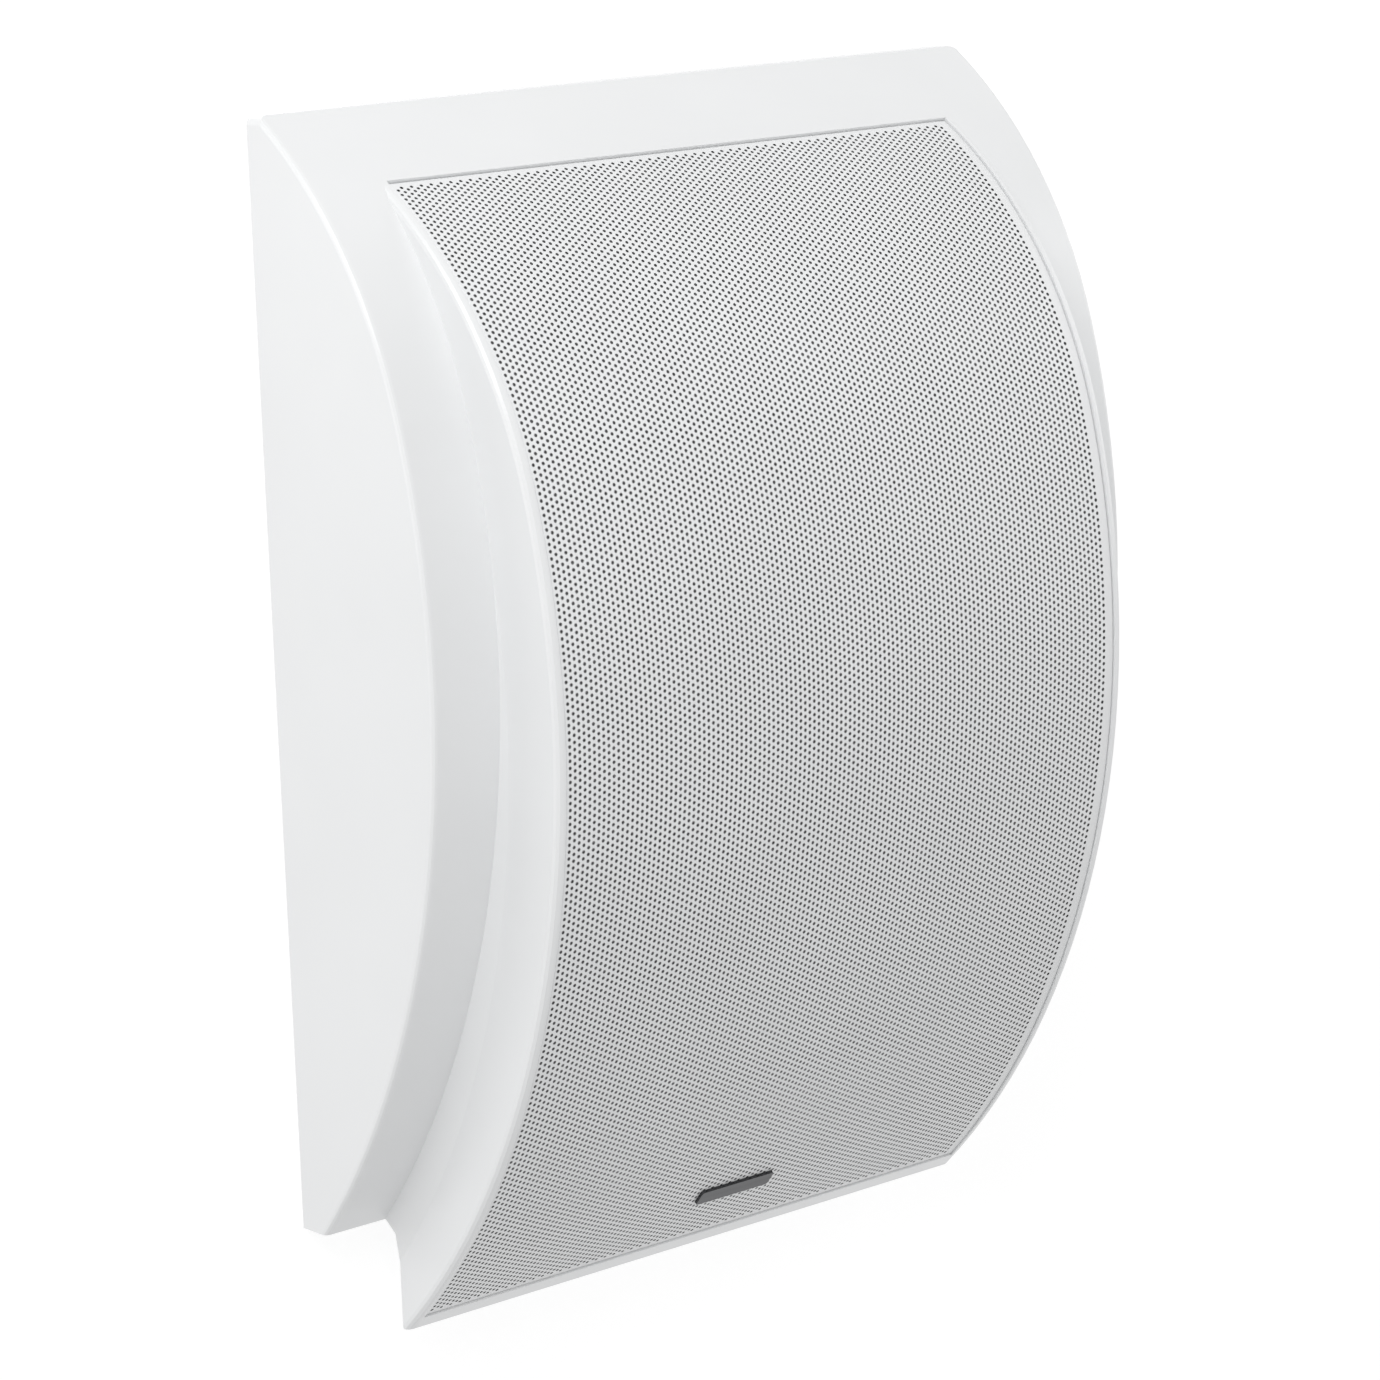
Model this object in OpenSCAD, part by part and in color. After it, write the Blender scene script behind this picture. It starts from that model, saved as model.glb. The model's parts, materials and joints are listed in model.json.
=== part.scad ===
/* [Cabinet] */
// Width of the cabinet across its two cheeks
body_w = 270; // [255:1:300]
// Height of the cabinet without the skirt
body_h = 326; // [318:1:332]
// Largest depth of the cheeks, at the top of their curve
body_d = 74; // [72:0.5:80]
// How far below the top edge the cheeks are deepest
body_apex_drop = 154; // [150:1:158]
// Radius of the cheeks' long lower arc
body_low_r = 266; // [262:1:290]
// Radius of the cheeks' short upper arc
body_top_r = 146; // [140:1:152]
// Height of the change from lower to upper arc above the deepest point
body_join_rise = 73; // [68:1:78]
// Wall of the moulding
wall = 3; // [2.5:0.1:3.5]
// Rounding along the front edges of the cheeks
cheek_round = 1.5; // [0.8:0.1:2.4]
// Rounding of the two top corners
corner_round = 3; // [1:0.5:6]
// Thickness of the moulding's top and bottom walls
end_wall = 5; // [4:0.5:6]

/* [Frame and skirt] */
// Width of the raised frame round the grille
frame_w = 222; // [214:1:228]
// Largest depth of the frame
frame_d = 98; // [96:0.5:100]
// How far the frame's deepest point lies below that of the cheeks
frame_apex_offset = 15; // [13:0.5:17]
// Radius of the frame's long lower arc
frame_low_r = 264; // [261:1:275]
// Radius of the frame's short upper arc
frame_top_r = 141; // [138:1:146]
// Height of the change from lower to upper arc above the deepest point
frame_join_rise = 64; // [60:1:68]
// How far the skirt hangs below the cabinet
skirt_drop = 34; // [30:1:36]
// How far the skirt's back slopes down below the cabinet
skirt_slope = 4; // [3:0.5:12]
// Thickness of the skirt's lower edge
skirt_edge = 2; // [1:0.1:3]
// Depth of the frame's straight side band
side_band = 21.7; // [18:0.1:24]
// Slope of the foot below the side band
foot_angle = 12; // [6:1:16]
// Width of the lip beside the grille
lip_w = 3; // [2.4:0.1:3.6]
// Length of the lip below the grille, along the curve
lip_end = 6.4; // [5.8:0.1:8]
// How far below the top edge the grille recess starts
recess_top_drop = 19.5; // [18:0.5:24]
// Depth of the grille recess below the lip
recess_d = 4; // [3.6:0.1:4.6]
// Rounding of the lip's outer edge
lip_round = 2; // [1:0.1:2.2]

/* [Grille] */
// Thickness of the grille sheet
sheet_t = 0.8; // [0.6:0.1:1]
// How far the grille sits below the lip
grille_sink = 0.5; // [0.4:0.1:1.2]
// Gap at the grille's sides and bottom
grille_gap = 0.4; // [0.2:0.1:0.6]
// Gap above the grille
grille_top_gap = 0.4; // [0.3:0.1:1.5]
// Number of rows of slots, each row standing for three rows of holes
slot_rows = 60; // [40:1:60]
// Height of a slot
slot_h = 2.4; // [1.6:0.1:3]
// Plain margin between the slots and the grille's edge
grille_margin = 3.4; // [2.5:0.1:6]
// Width of the plain tie between the two columns of slots
tie_w = 2.4; // [2:0.1:6]
// Thickness of the cloth behind the grille
cloth_t = 0.5; // [0.3:0.1:0.7]
// Gap between the cloth and the grille
cloth_gap = 0.05; // [0.03:0.01:0.2]
// Width of the blank badge
badge_w = 29; // [20:1:40]
// Height of the badge
badge_h = 6; // [4:0.5:8]
// Thickness of the badge
badge_t = 1; // [0.6:0.1:1.4]
// Radius of the badge's corners
badge_round = 0.9; // [0.4:0.1:2]
// Height of the badge above the grille's lower end, along the curve
badge_rise = 24.5; // [16:0.5:40]

/* [Baffle] */
// Depth from the front of the frame to the front of the baffle
baffle_back = 36; // [35:0.5:38]
// Thickness of the baffle
baffle_t = 4; // [3:0.5:5]
// Width of the pocket in front of the baffle
pocket_w = 200; // [194:1:204]
// Height of the pocket's lower end above the cabinet's bottom edge
pocket_low = 36; // [34:1:40]
// Height of the pocket's upper end above the cabinet's bottom edge
pocket_high = 267; // [264:1:270]
// Corner radius of the pocket
pocket_round = 12; // [8:1:16]
// Height of the woofer's centre
woofer_z = 125; // [122:1:128]
// Height of the tweeter's centre
tweeter_z = 228; // [226:1:230]

/* [Wall screws] */
// Sideways distance between the wall screws
wall_screw_x = 172; // [168:1:176]
// Upright distance between the wall screws
wall_screw_z = 200; // [196:1:202]
// Height of the lower wall screws
wall_screw_low = 50; // [49:0.5:54]
// Hole for a wall screw
wall_hole_d = 5.5; // [4.5:0.1:6.5]
// Bore of the tube that takes the wall screw's head
wall_tube_d = 11; // [10:0.5:12]
// Wall of that tube
wall_tube_t = 2; // [1.5:0.1:2.5]
// Thickness of the tube's floor under the screw head
wall_tube_floor = 4; // [3:0.5:6]

/* [Back panel] */
// Thickness of the back panel
panel_t = 3; // [2.5:0.1:3.5]
// Gap round the back panel
panel_gap = 0.4; // [0.2:0.1:0.8]
// Thickness of the foam seal under the panel
seal_t = 1; // [0.8:0.1:1.5]
// Width of the ledge that the seal lies on
ledge_w = 5; // [4:0.5:6]
// Depth of that ledge
ledge_t = 4; // [3:0.5:5]
// Outer diameter of the panel screws' bosses
boss_d = 9; // [8:0.5:10]
// Length of those bosses
boss_len = 16; // [12:1:18]
// Distance of the panel screws from the opening's sides
panel_screw_in = 5.5; // [5:0.5:6]
// Width of the cable channel
channel_w = 9; // [7:0.5:12]
// Depth of the cable channel
channel_d = 5; // [4:0.5:5.5]
// Wall of the cable channel
channel_t = 2; // [1.5:0.1:2.5]

/* [Terminal cup] */
// Inner width of the terminal cup
cup_w = 60; // [56:1:66]
// Inner height of the terminal cup
cup_h = 34; // [33:1:36]
// Inner depth of the terminal cup
cup_d = 18; // [17:0.5:19]
// Wall of the terminal cup
cup_t = 2; // [1.6:0.1:2.4]
// Height of the terminal cup's centre
cup_z = 50; // [49:0.5:52]
// Width of the cup's flange
cup_flange = 8; // [7.5:0.5:9]
// Thickness of the cup's flange
cup_flange_t = 1.5; // [1.2:0.1:1.8]
// Sideways distance between the two terminals
terminal_pitch = 26; // [24:1:28]
// Width of a terminal lever
lever_w = 14; // [12:0.5:15]
// Length of a lever from its pin to its lower end
lever_len = 16; // [14:0.5:17]
// Thickness of a lever
lever_t = 3.2; // [2.6:0.1:4]
// Diameter of a lever's stub pins
pin_d = 2.4; // [2:0.1:3]
// Radial clearance of the stub pins in their ears
pin_clear = 0.05; // [0.03:0.01:0.1]
// Thickness of the ears that carry the pins
ear_t = 2; // [1.6:0.1:2.4]
// Running gap beside a lever
lever_gap = 0.5; // [0.3:0.1:0.8]
// Diameter of the wire holes
wire_hole_d = 4; // [3:0.1:4.5]

/* [Woofer] */
// Outer diameter of the woofer's flange
woofer_d = 134; // [128:1:138]
// Cut-out in the baffle for the woofer
woofer_cutout = 118; // [114:1:119]
// Diameter of the woofer's screw circle
woofer_screw_pcd = 126; // [124:0.5:127]
// Sheet thickness of the basket
basket_t = 1.6; // [1.2:0.1:2]
// Depth of the basket from the baffle to its rear ring
basket_d = 28; // [27:0.5:29]
// Outer radius of the basket's rear ring
basket_back_r = 41; // [40:0.5:43]
// Radius at which the cone ends
cone_r = 48; // [46:0.5:50]
// Depth of the cone
cone_depth = 16; // [14:0.5:18]
// Thickness of the cone
cone_t = 0.8; // [0.6:0.1:1.2]
// Height of the surround's half roll
roll_h = 4.5; // [3.5:0.1:5]
// Thickness of the surround
surround_t = 0.7; // [0.5:0.1:1]
// Radius of the dust cap's rim
cap_r = 17; // [15:0.5:20]
// Inner radius of the voice coil former
former_r = 12.8; // [12:0.1:13.5]
// Thickness of the former
former_t = 0.3; // [0.2:0.05:0.4]
// Thickness of the winding
winding_t = 0.6; // [0.4:0.05:0.8]
// Radial clearance in the magnet gap, on both sides of the coil
coil_clear = 0.4; // [0.3:0.05:0.6]
// Travel of the cone to each side
cone_travel = 3; // [1:0.5:3.5]
// Outer radius of the spider
spider_r = 36; // [34:0.5:38]
// Outer radius of the magnet
magnet_r = 40; // [38:0.5:42]
// Thickness of the magnet
magnet_t = 11; // [10:0.5:12]
// Thickness of the top plate
top_plate_t = 4; // [3.5:0.5:5]
// Thickness of the yoke's back plate
yoke_t = 4; // [3.5:0.5:5]

/* [Tweeter] */
// Diameter of the tweeter's faceplate
tweeter_d = 66; // [62:1:68]
// Thickness of the faceplate
tweeter_face_t = 4; // [3:0.5:5]
// Diameter of the tweeter's cut-out
tweeter_cutout = 46; // [45:0.5:47]
// Diameter of the tweeter's screw circle
tweeter_screw_pcd = 56; // [55:0.5:57]
// Radius of the dome
dome_r = 10; // [9:0.5:11]
// Height of the dome
dome_h = 4; // [3:0.5:5]
// Thickness of the dome
dome_t = 0.4; // [0.3:0.1:0.5]
// Outer radius of the tweeter's magnet
tweeter_magnet_r = 21; // [20:0.5:22]
// Thickness of the tweeter's magnet
tweeter_magnet_t = 7; // [6:0.5:8]

/* [Crossover] */
// Width of the crossover board
board_w = 84; // [80:1:90]
// Height of the crossover board
board_h = 50; // [46:1:54]
// Thickness of the board
board_t = 1.6; // [1.2:0.1:2]
// Height of the posts under the board
post_h = 5; // [4:0.5:7]
// Height of the board's centre
board_z = 224; // [220:1:226]
// Radius of the inductor
coil_r = 13; // [11:0.5:15]
// Height of the inductor
coil_h = 14; // [10:0.5:18]
// Diameter of a capacitor
capacitor_d = 11; // [9:0.5:13]
// Length of a capacitor
capacitor_len = 24; // [20:1:28]

/* [Damping] */
// Width of a damping pad
pad_w = 34; // [26:1:36]
// Height of a damping pad
pad_h = 110; // [90:1:130]
// Thickness of a damping pad
pad_t = 24; // [16:1:26]

/* [Leads] */

// Diameter of an insulated lead
lead_d = 2; // [1.4:0.1:2.4]
// Distance that the leads to the woofer keep outside its basket
lead_out = 19; // [16:1:24]

/* [Hidden] */
$fn = 64;
big_fn = 240;
far = 500;
outside = 25;
join_step = 0.01;
skirt_start = 0.3;
wire_stop = 0.5;
join_lap = 0.4;
eps = 0.01;

white = [0.93, 0.94, 0.94];
steel = [0.62, 0.63, 0.65];
dark = [0.13, 0.13, 0.14];
paper = [0.2, 0.2, 0.21];
ferrite = [0.24, 0.24, 0.25];
copper = [0.72, 0.42, 0.22];

// Centres of the two arcs of a curved front, as depth and height
function low_centre(d, apex, r) = [d - r, apex];
function join_angle(rise, r) = asin(rise / r);
function top_centre(d, apex, r, r_top, rise) =
    low_centre(d, apex, r) + (r - r_top) * [cos(join_angle(rise, r)), sin(join_angle(rise, r))];
// Depth of the curved front at a height on its lower arc
function low_depth(c, r, z) = c[0] + sqrt(r * r - (z - c[1]) * (z - c[1]));

body_apex = body_h - body_apex_drop;
body_c1 = low_centre(body_d, body_apex, body_low_r);
body_c2 = top_centre(body_d, body_apex, body_low_r, body_top_r, body_join_rise);
body_join = join_angle(body_join_rise, body_low_r);

frame_apex = body_apex - frame_apex_offset;
frame_c1 = low_centre(frame_d, frame_apex, frame_low_r);
frame_c2 = top_centre(frame_d, frame_apex, frame_low_r, frame_top_r, frame_join_rise);
frame_join = join_angle(frame_join_rise, frame_low_r);

skirt_back = low_depth(frame_c1, frame_low_r, -skirt_drop) - skirt_edge;
body_bottom_d = low_depth(body_c1, body_low_r, 0) + skirt_start;
recess_high = body_h - recess_top_drop;
tip_angle = asin((-skirt_drop - frame_apex) / frame_low_r);
low_end = tip_angle + lip_end / frame_low_r * 180 / PI;
top_end = asin((recess_high - frame_c2[1]) / frame_top_r);
lip_inside = frame_w - 2 * lip_w;

grille_w = lip_inside - 2 * grille_gap;
grille_low = low_end + grille_gap / frame_low_r * 180 / PI;
grille_high = top_end - grille_top_gap / frame_top_r * 180 / PI;
rim_foot = 0.1;
slot_w = (grille_w - 2 * grille_margin - tie_w) / 2;
slot_x = (slot_w + tie_w) / 2;
low_run = (frame_join - grille_low) * frame_low_r * PI / 180 - grille_margin;
high_run = (grille_high - frame_join) * frame_top_r * PI / 180 - grille_margin;
slot_pitch = (low_run + high_run) / slot_rows;

rebate_w = body_w - 2 * wall;
rebate_low = end_wall;
rebate_high = body_h - end_wall;
seal_d = panel_t + seal_t;
panel_w = rebate_w - 2 * panel_gap;
panel_low = rebate_low + panel_gap;
panel_high = rebate_high - panel_gap;
panel_screw_x = rebate_w / 2 - panel_screw_in;
panel_screw_zs = [rebate_low + 15, (rebate_low + rebate_high) / 2, rebate_high - 25];
screw_d = 3;
screw_clear = 0.05;
screw_head_d = 5.6;
screw_head_t = 1.4;

wall_screw_zs = [wall_screw_low, wall_screw_low + wall_screw_z];
hang_z = wall_screw_low + wall_screw_z / 2;
tube_d = wall_tube_d + 2 * wall_tube_t;

trough_w = channel_w + 2 * channel_t;
trough_d = channel_d + channel_t;
cup_low = cup_z - cup_h / 2;
cup_high = cup_z + cup_h / 2;
cup_wall_gap = 0.3;
cup_seat = screw_head_t + 0.1;
cup_frame_t = 3;
cup_frame_w = 2;
cup_screw_x = cup_w / 2 + (cup_t + cup_flange) / 2;
cup_screw_zs = [cup_low + 5, cup_high - 5];
pivot_z = cup_high - 6;
pivot_d = cup_d - 6;
baffle_d = frame_d - baffle_back;
terminal_xs = [-terminal_pitch / 2, terminal_pitch / 2];
block_h = 8;
block_d = 8;
lever_side = lever_w / 2 + lever_gap;
spring_t = 0.4;
tail_len = 4;
stop_gap = 0.1;
rivet_r = 1;
rivet_head = 0.5;
rivet_z = pivot_z - lever_len + 7.5;
lug_t = 0.6;
lug_len = 11;
lead_r = lead_d / 2;
lead_bend = 1.04 * lead_r;
tag_t = 0.6;

flange_front = basket_t;
land_t = surround_t;
former_out = former_r + former_t;
winding_out = former_out + winding_t;
pole_r = former_r - coil_clear;
gap_r = winding_out + coil_clear;
plate_front = -basket_d - basket_t;
plate_back = plate_front - top_plate_t;
magnet_back = plate_back - magnet_t;
yoke_back = magnet_back - yoke_t;
cone_back = flange_front - cone_depth;
roll_r = (woofer_cutout / 2 - 1.5 - cone_r) / 2;
roll_mid = cone_r + roll_r;
woofer_shank_len = 9;
gasket_t = 1.5;
spider_z = -18;
spider_land = 0.7;
glue_gap = 0.05;

tweeter_plate_t = 3;
tweeter_yoke_t = 3;
tweeter_seat = -1.2;
tweeter_former_r = dome_r - 0.3;
tweeter_coil_t = 0.3;
tweeter_gap = 0.3;
tweeter_pole_r = tweeter_former_r - tweeter_gap;
tweeter_gap_r = tweeter_former_r + 2 * tweeter_coil_t + tweeter_gap;
tweeter_plate_back = tweeter_seat - tweeter_plate_t;
tweeter_magnet_back = tweeter_plate_back - tweeter_magnet_t;
tweeter_roll = 1.5;
tag_strip_t = 1.6;
tweeter_lead_x = 3.2;

board_d = panel_t + post_h;
board_top = board_d + board_t;
board_hole_x = board_w / 2 - 5;
board_hole_z = board_h / 2 - 5;

pad_x = wall_screw_x / 2 + 4;
woofer_tag_d = baffle_d - basket_d + 1.6 + tag_t + lead_r + glue_gap;
tweeter_tag_d = baffle_d + tweeter_magnet_back - tweeter_yoke_t - glue_gap - tag_strip_t - tag_t - lead_r - glue_gap;
board_gap_x = -0.5;

// Cabinet coordinates have their origin on the wall below the cabinet's bottom edge
module placed() { translate([0, 0, -hang_z]) children(); }
// A section drawn as depth and height stands up in the side view
module in_section() { rotate([90, 0, -90]) children(); }
module along_x(w) { in_section() linear_extrude(height = w, center = true) children(); }
// A driver part is drawn with +Z out of the baffle's front face
module at_baffle(z) { translate([0, -baffle_d, z]) rotate([90, 0, 0]) children(); }
// A panel part is drawn with +Z into the cabinet from the wall plane
module from_wall(x, z, d) { translate([x, -d, z]) rotate([90, 0, 0]) children(); }
module ring(r_out, r_in, z0, z1) {
    translate([0, 0, z0]) difference() {
        cylinder(r = r_out, h = z1 - z0);
        translate([0, 0, -1]) cylinder(r = r_in, h = z1 - z0 + 2);
    }
}
module around(count, r, start = 0) {
    for (i = [0 : count - 1]) rotate([0, 0, start + i * 360 / count]) translate([r, 0, 0]) children();
}
module pan_screw(len, shank_r) {
    cylinder(d = screw_head_d, h = screw_head_t, $fn = 32);
    translate([0, 0, -len]) cylinder(r = shank_r, h = len + eps, $fn = 32);
}

// Solid area behind a two-arc curve, moved inwards by inset. Both arcs end on one line through the lower centre,
// and the upper one lies a hair inside the lower one there, so that the two never meet in a sliver.
module arc_area(c1, r1, c2, r2, turn, inset) {
    intersection() {
        translate(c1) circle(r = r1 - inset, $fn = big_fn);
        translate(c1) rotate(turn) translate([-far, -2 * far]) square([3 * far, 2 * far]);
    }
    intersection() {
        translate(c2) circle(r = r2 - join_step - inset, $fn = big_fn);
        translate(c1) rotate(turn) translate([-far, 0]) square([3 * far, 2 * far]);
    }
}
module body_area(inset) { arc_area(body_c1, body_low_r, body_c2, body_top_r, body_join, inset); }
module frame_area(inset) { arc_area(frame_c1, frame_low_r, frame_c2, frame_top_r, frame_join, inset); }

// Band between two depths below the frame's curve, from a direction at its lower centre to one at its upper centre
module frame_band(top, bottom, low_angle, high_angle) {
    intersection() {
        difference() {
            frame_area(top);
            frame_area(bottom);
        }
        polygon([
            frame_c1, frame_c1 + far * [cos(low_angle), sin(low_angle)], [2 * far, 0],
            frame_c2 + far * [cos(high_angle), sin(high_angle)], frame_c2
        ]);
    }
}

// Ring that cuts a rounded edge along an arc, on both sides of the part. Its section has three flats, and both ends
// of it run out past the surfaces that it cuts.
module edge_cut(c, r, a0, a1, half_w, edge_r) {
    first = edge_r * [cos(30), sin(30)];
    second = edge_r * [sin(30), cos(30)];
    run_out = edge_r / 2;
    beyond = edge_r + 1;
    translate([c[0], c[1], 0]) rotate([0, 0, a0]) for (side = [0, 1]) mirror([0, 0, side])
        rotate_extrude(angle = a1 - a0, $fn = big_fn) translate([r - edge_r, half_w - edge_r]) polygon([
            2 * [edge_r, 0] - first, first, second, 2 * [0, edge_r] - second, [-run_out, beyond],
            [beyond, beyond], [beyond, -run_out]
        ]);
}

module body_block() {
    intersection() {
        along_x(body_w) intersection() {
            body_area(0);
            square([far, body_h]);
        }
        rotate([90, 0, 0]) linear_extrude(height = far) cabinet_outline();
    }
}
// Front view of the cabinet, with its two rounded top corners
module cabinet_outline() {
    translate([-body_w / 2, -1]) square([body_w, body_h - corner_round + 1]);
    translate([-body_w / 2 + corner_round, 0]) square([body_w - 2 * corner_round, body_h]);
    for (s = [-1, 1]) translate([s * (body_w / 2 - corner_round), body_h - corner_round]) circle(r = corner_round);
}
module rounded_body() {
    difference() {
        body_block();
        in_section() {
            edge_cut(body_c1, body_low_r, -60, body_join, body_w / 2, cheek_round);
            edge_cut(body_c2, body_top_r - join_step, body_join - join_lap, 80, body_w / 2, cheek_round);
        }
    }
}
// Side view of all that the frame may fill: above the cabinet's bottom edge, and the skirt
module frame_limit() {
    polygon([
        [skirt_back, -skirt_drop], [far, -skirt_drop], [far, recess_high],
        [0, recess_high], [0, 0], [body_bottom_d, 0], [skirt_back, -skirt_slope]
    ]);
}
module frame_block() {
    along_x(frame_w) intersection() {
        frame_area(0);
        frame_limit();
    }
    frame_foot();
}
// The rounding ends where the frame dives under the cabinet's surface near the top
module rounded_frame() {
    difference() {
        frame_block();
        in_section() {
            edge_cut(frame_c1, frame_low_r, tip_angle - 5, frame_join, frame_w / 2, lip_round);
            edge_cut(frame_c2, frame_top_r - join_step, frame_join - join_lap, 80, frame_w / 2, lip_round);
        }
    }
}
// Foot of the frame, which widens towards the cabinet behind the straight side band
module frame_foot() {
    foot_len = 18;
    intersection() {
        in_section() translate([frame_c1[0] - side_band, frame_c1[1], 0]) rotate_extrude($fn = big_fn)
            for (side = [0, 1]) mirror([0, side]) polygon([
                [frame_low_r - foot_len, 0], [frame_low_r, 0], [frame_low_r, frame_w / 2],
                [frame_low_r - foot_len, frame_w / 2 + foot_len * tan(foot_angle)]
            ]);
        along_x(body_w - 2 * wall) intersection() {
            frame_limit();
            translate([0, -skirt_drop]) square([far, body_apex + frame_join_rise]);
        }
    }
}

// Room inside the moulding, open at the back
module inner_room() {
    difference() {
        union() {
            along_x(body_w - 2 * wall) intersection() {
                body_area(wall);
                translate([-1, wall]) square([far, rebate_high - wall]);
            }
            along_x(frame_w - 2 * wall) intersection() {
                frame_area(recess_d);
                translate([-1, wall]) square([far, recess_high - wall]);
            }
        }
        along_x(frame_w) frame_band(-outside, recess_d + wall, low_end, top_end + wall / frame_top_r * 180 / PI);
        pocket_block(wall, baffle_d - baffle_t);
        ledge();
        bosses();
        wall_tubes();
    }
}
module pocket_block(grow, from_d) {
    w = pocket_w + 2 * grow;
    low = pocket_low - grow;
    h = pocket_high - pocket_low + 2 * grow;
    r = pocket_round + grow;
    translate([0, -from_d, low]) rotate([90, 0, 0]) linear_extrude(height = far) {
        translate([-w / 2, r]) square([w, h - 2 * r]);
        translate([-w / 2 + r, 0]) square([w - 2 * r, h]);
        for (s = [-1, 1], z = [r, h - r]) translate([s * (w / 2 - r), z]) circle(r = r);
    }
}
module ledge() {
    difference() {
        box_y(body_w, 0, body_h, seal_d, seal_d + ledge_t);
        box_y(rebate_w - 2 * ledge_w, rebate_low + ledge_w, rebate_high - ledge_w, 0, far);
    }
}
// Box given by its width, its lower and upper height, and its two depths
module box_y(w, z0, z1, d0, d1) {
    translate([-w / 2, -d1, z0]) cube([w, d1 - d0, z1 - z0]);
}
module bosses() {
    for (s = [-1, 1], z = panel_screw_zs) {
        from_wall(s * panel_screw_x, z, seal_d) cylinder(d = boss_d, h = boss_len);
        translate([s * panel_screw_x - (s < 0 ? boss_d : 0), -seal_d - boss_len, z - boss_d / 4])
            cube([boss_d, boss_len, boss_d / 2]);
    }
}
module wall_tubes() {
    for (s = [-1, 1], z = wall_screw_zs)
        from_wall(s * wall_screw_x / 2, z, panel_t) cylinder(d = tube_d, h = baffle_d - panel_t);
}
module driver_holes() {
    at_baffle(woofer_z) {
        translate([0, 0, -2 * baffle_t]) cylinder(d = woofer_cutout, h = 3 * baffle_t);
        around(4, woofer_screw_pcd / 2, 45)
            translate([0, 0, -woofer_shank_len - 2]) cylinder(r = screw_d / 2 + screw_clear, h = woofer_shank_len + 4, $fn = 32);
    }
    at_baffle(tweeter_z) {
        translate([0, 0, -2 * baffle_t]) cylinder(d = tweeter_cutout, h = 3 * baffle_t);
        around(3, tweeter_screw_pcd / 2, 90)
            translate([0, 0, -baffle_t - 3]) cylinder(r = screw_d / 2 + screw_clear, h = 2 * baffle_t + 2, $fn = 32);
    }
}
// Pillars behind the baffle that the driver screws bite into
module driver_bosses() {
    at_baffle(woofer_z) around(4, woofer_screw_pcd / 2, 45)
        translate([0, 0, -woofer_shank_len - 3]) cylinder(d = 2.6 * screw_d, h = woofer_shank_len, $fn = 32);
    at_baffle(tweeter_z) around(3, tweeter_screw_pcd / 2, 90)
        translate([0, 0, -baffle_t - 4]) cylinder(d = 2.2 * screw_d, h = baffle_t + 2, $fn = 32);
}

module front_shell() {
    color(white) placed() difference() {
        union() {
            difference() {
                union() {
                    rounded_body();
                    rounded_frame();
                }
                inner_room();
                skirt_room();
            }
            driver_bosses();
        }
        along_x(lip_inside) frame_band(-outside, recess_d, low_end, top_end);
        pocket_block(0, baffle_d);
        box_y(rebate_w, rebate_low, rebate_high, -1, seal_d);
        driver_holes();
        for (s = [-1, 1], z = wall_screw_zs) from_wall(s * wall_screw_x / 2, z, 0) {
            cylinder(d = wall_hole_d, h = far);
            translate([0, 0, panel_t + wall_tube_floor]) cylinder(d = wall_tube_d, h = far);
        }
        for (s = [-1, 1], z = panel_screw_zs)
            from_wall(s * panel_screw_x, z, 0) cylinder(r = screw_d / 2 + screw_clear, h = seal_d + boss_len - 3, $fn = 32);
        box_y(channel_w, -1, rebate_low + 1, -1, channel_d);
        box_y(trough_w + 2 * panel_gap, rebate_low, rebate_low + ledge_w + 1, 0, seal_d + ledge_t + 1);
    }
}
// The skirt is hollow towards the wall, as a moulding drawn off along its depth is
module skirt_room() {
    along_x(frame_w - 2 * wall) difference() {
        intersection() {
            frame_area(recess_d + 2);
            translate([-1, -skirt_drop]) square([far, skirt_drop]);
        }
        translate([-2, -far / 2]) square([2, far]);
    }
}

module grille() {
    inset = sheet_t / frame_low_r * 180 / PI;
    color(white) placed() difference() {
        along_x(grille_w) frame_band(grille_sink, recess_d - rim_foot, grille_low, grille_high);
        along_x(grille_w - 2 * sheet_t)
            frame_band(grille_sink + sheet_t, recess_d, grille_low + inset, grille_high - inset * frame_low_r / frame_top_r);
        for (side = [-1, 1]) translate([side * slot_x, 0, 0]) along_x(slot_w)
            for (i = [0 : slot_rows - 1]) slot((i + 0.5) * slot_pitch);
    }
}
// Radial cut through the sheet, at a distance along the curve from the lowest slot's lower edge
module slot(run) {
    low = run < low_run;
    r = low ? frame_low_r : frame_top_r;
    turn = frame_join + (run - low_run) / r * 180 / PI;
    translate(low ? frame_c1 : frame_c2) rotate(turn) translate([r - 2 * recess_d, -slot_h / 2])
        square([2 * recess_d, slot_h]);
}
module grille_cloth() {
    skip = (sheet_t + cloth_gap) / frame_top_r * 180 / PI;
    back = grille_sink + sheet_t + cloth_gap;
    color(dark) placed() along_x(grille_w - 2 * sheet_t - 2 * cloth_gap)
        frame_band(back, back + cloth_t, grille_low + skip, grille_high - skip);
}
// Blank plate with round corners
module badge() {
    turn = grille_low + badge_rise / frame_low_r * 180 / PI;
    color(dark) placed() in_section() translate([frame_c1[0], frame_c1[1], 0]) rotate([0, 0, turn])
        translate([frame_low_r - grille_sink + cloth_gap, 0, 0]) rotate([0, 90, 0]) linear_extrude(height = badge_t) {
            square([badge_w, badge_h - 2 * badge_round], center = true);
            square([badge_w - 2 * badge_round, badge_h], center = true);
            for (sx = [-1, 1], sy = [-1, 1])
                translate([sx * (badge_w / 2 - badge_round), sy * (badge_h / 2 - badge_round)]) circle(r = badge_round);
        }
}

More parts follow.
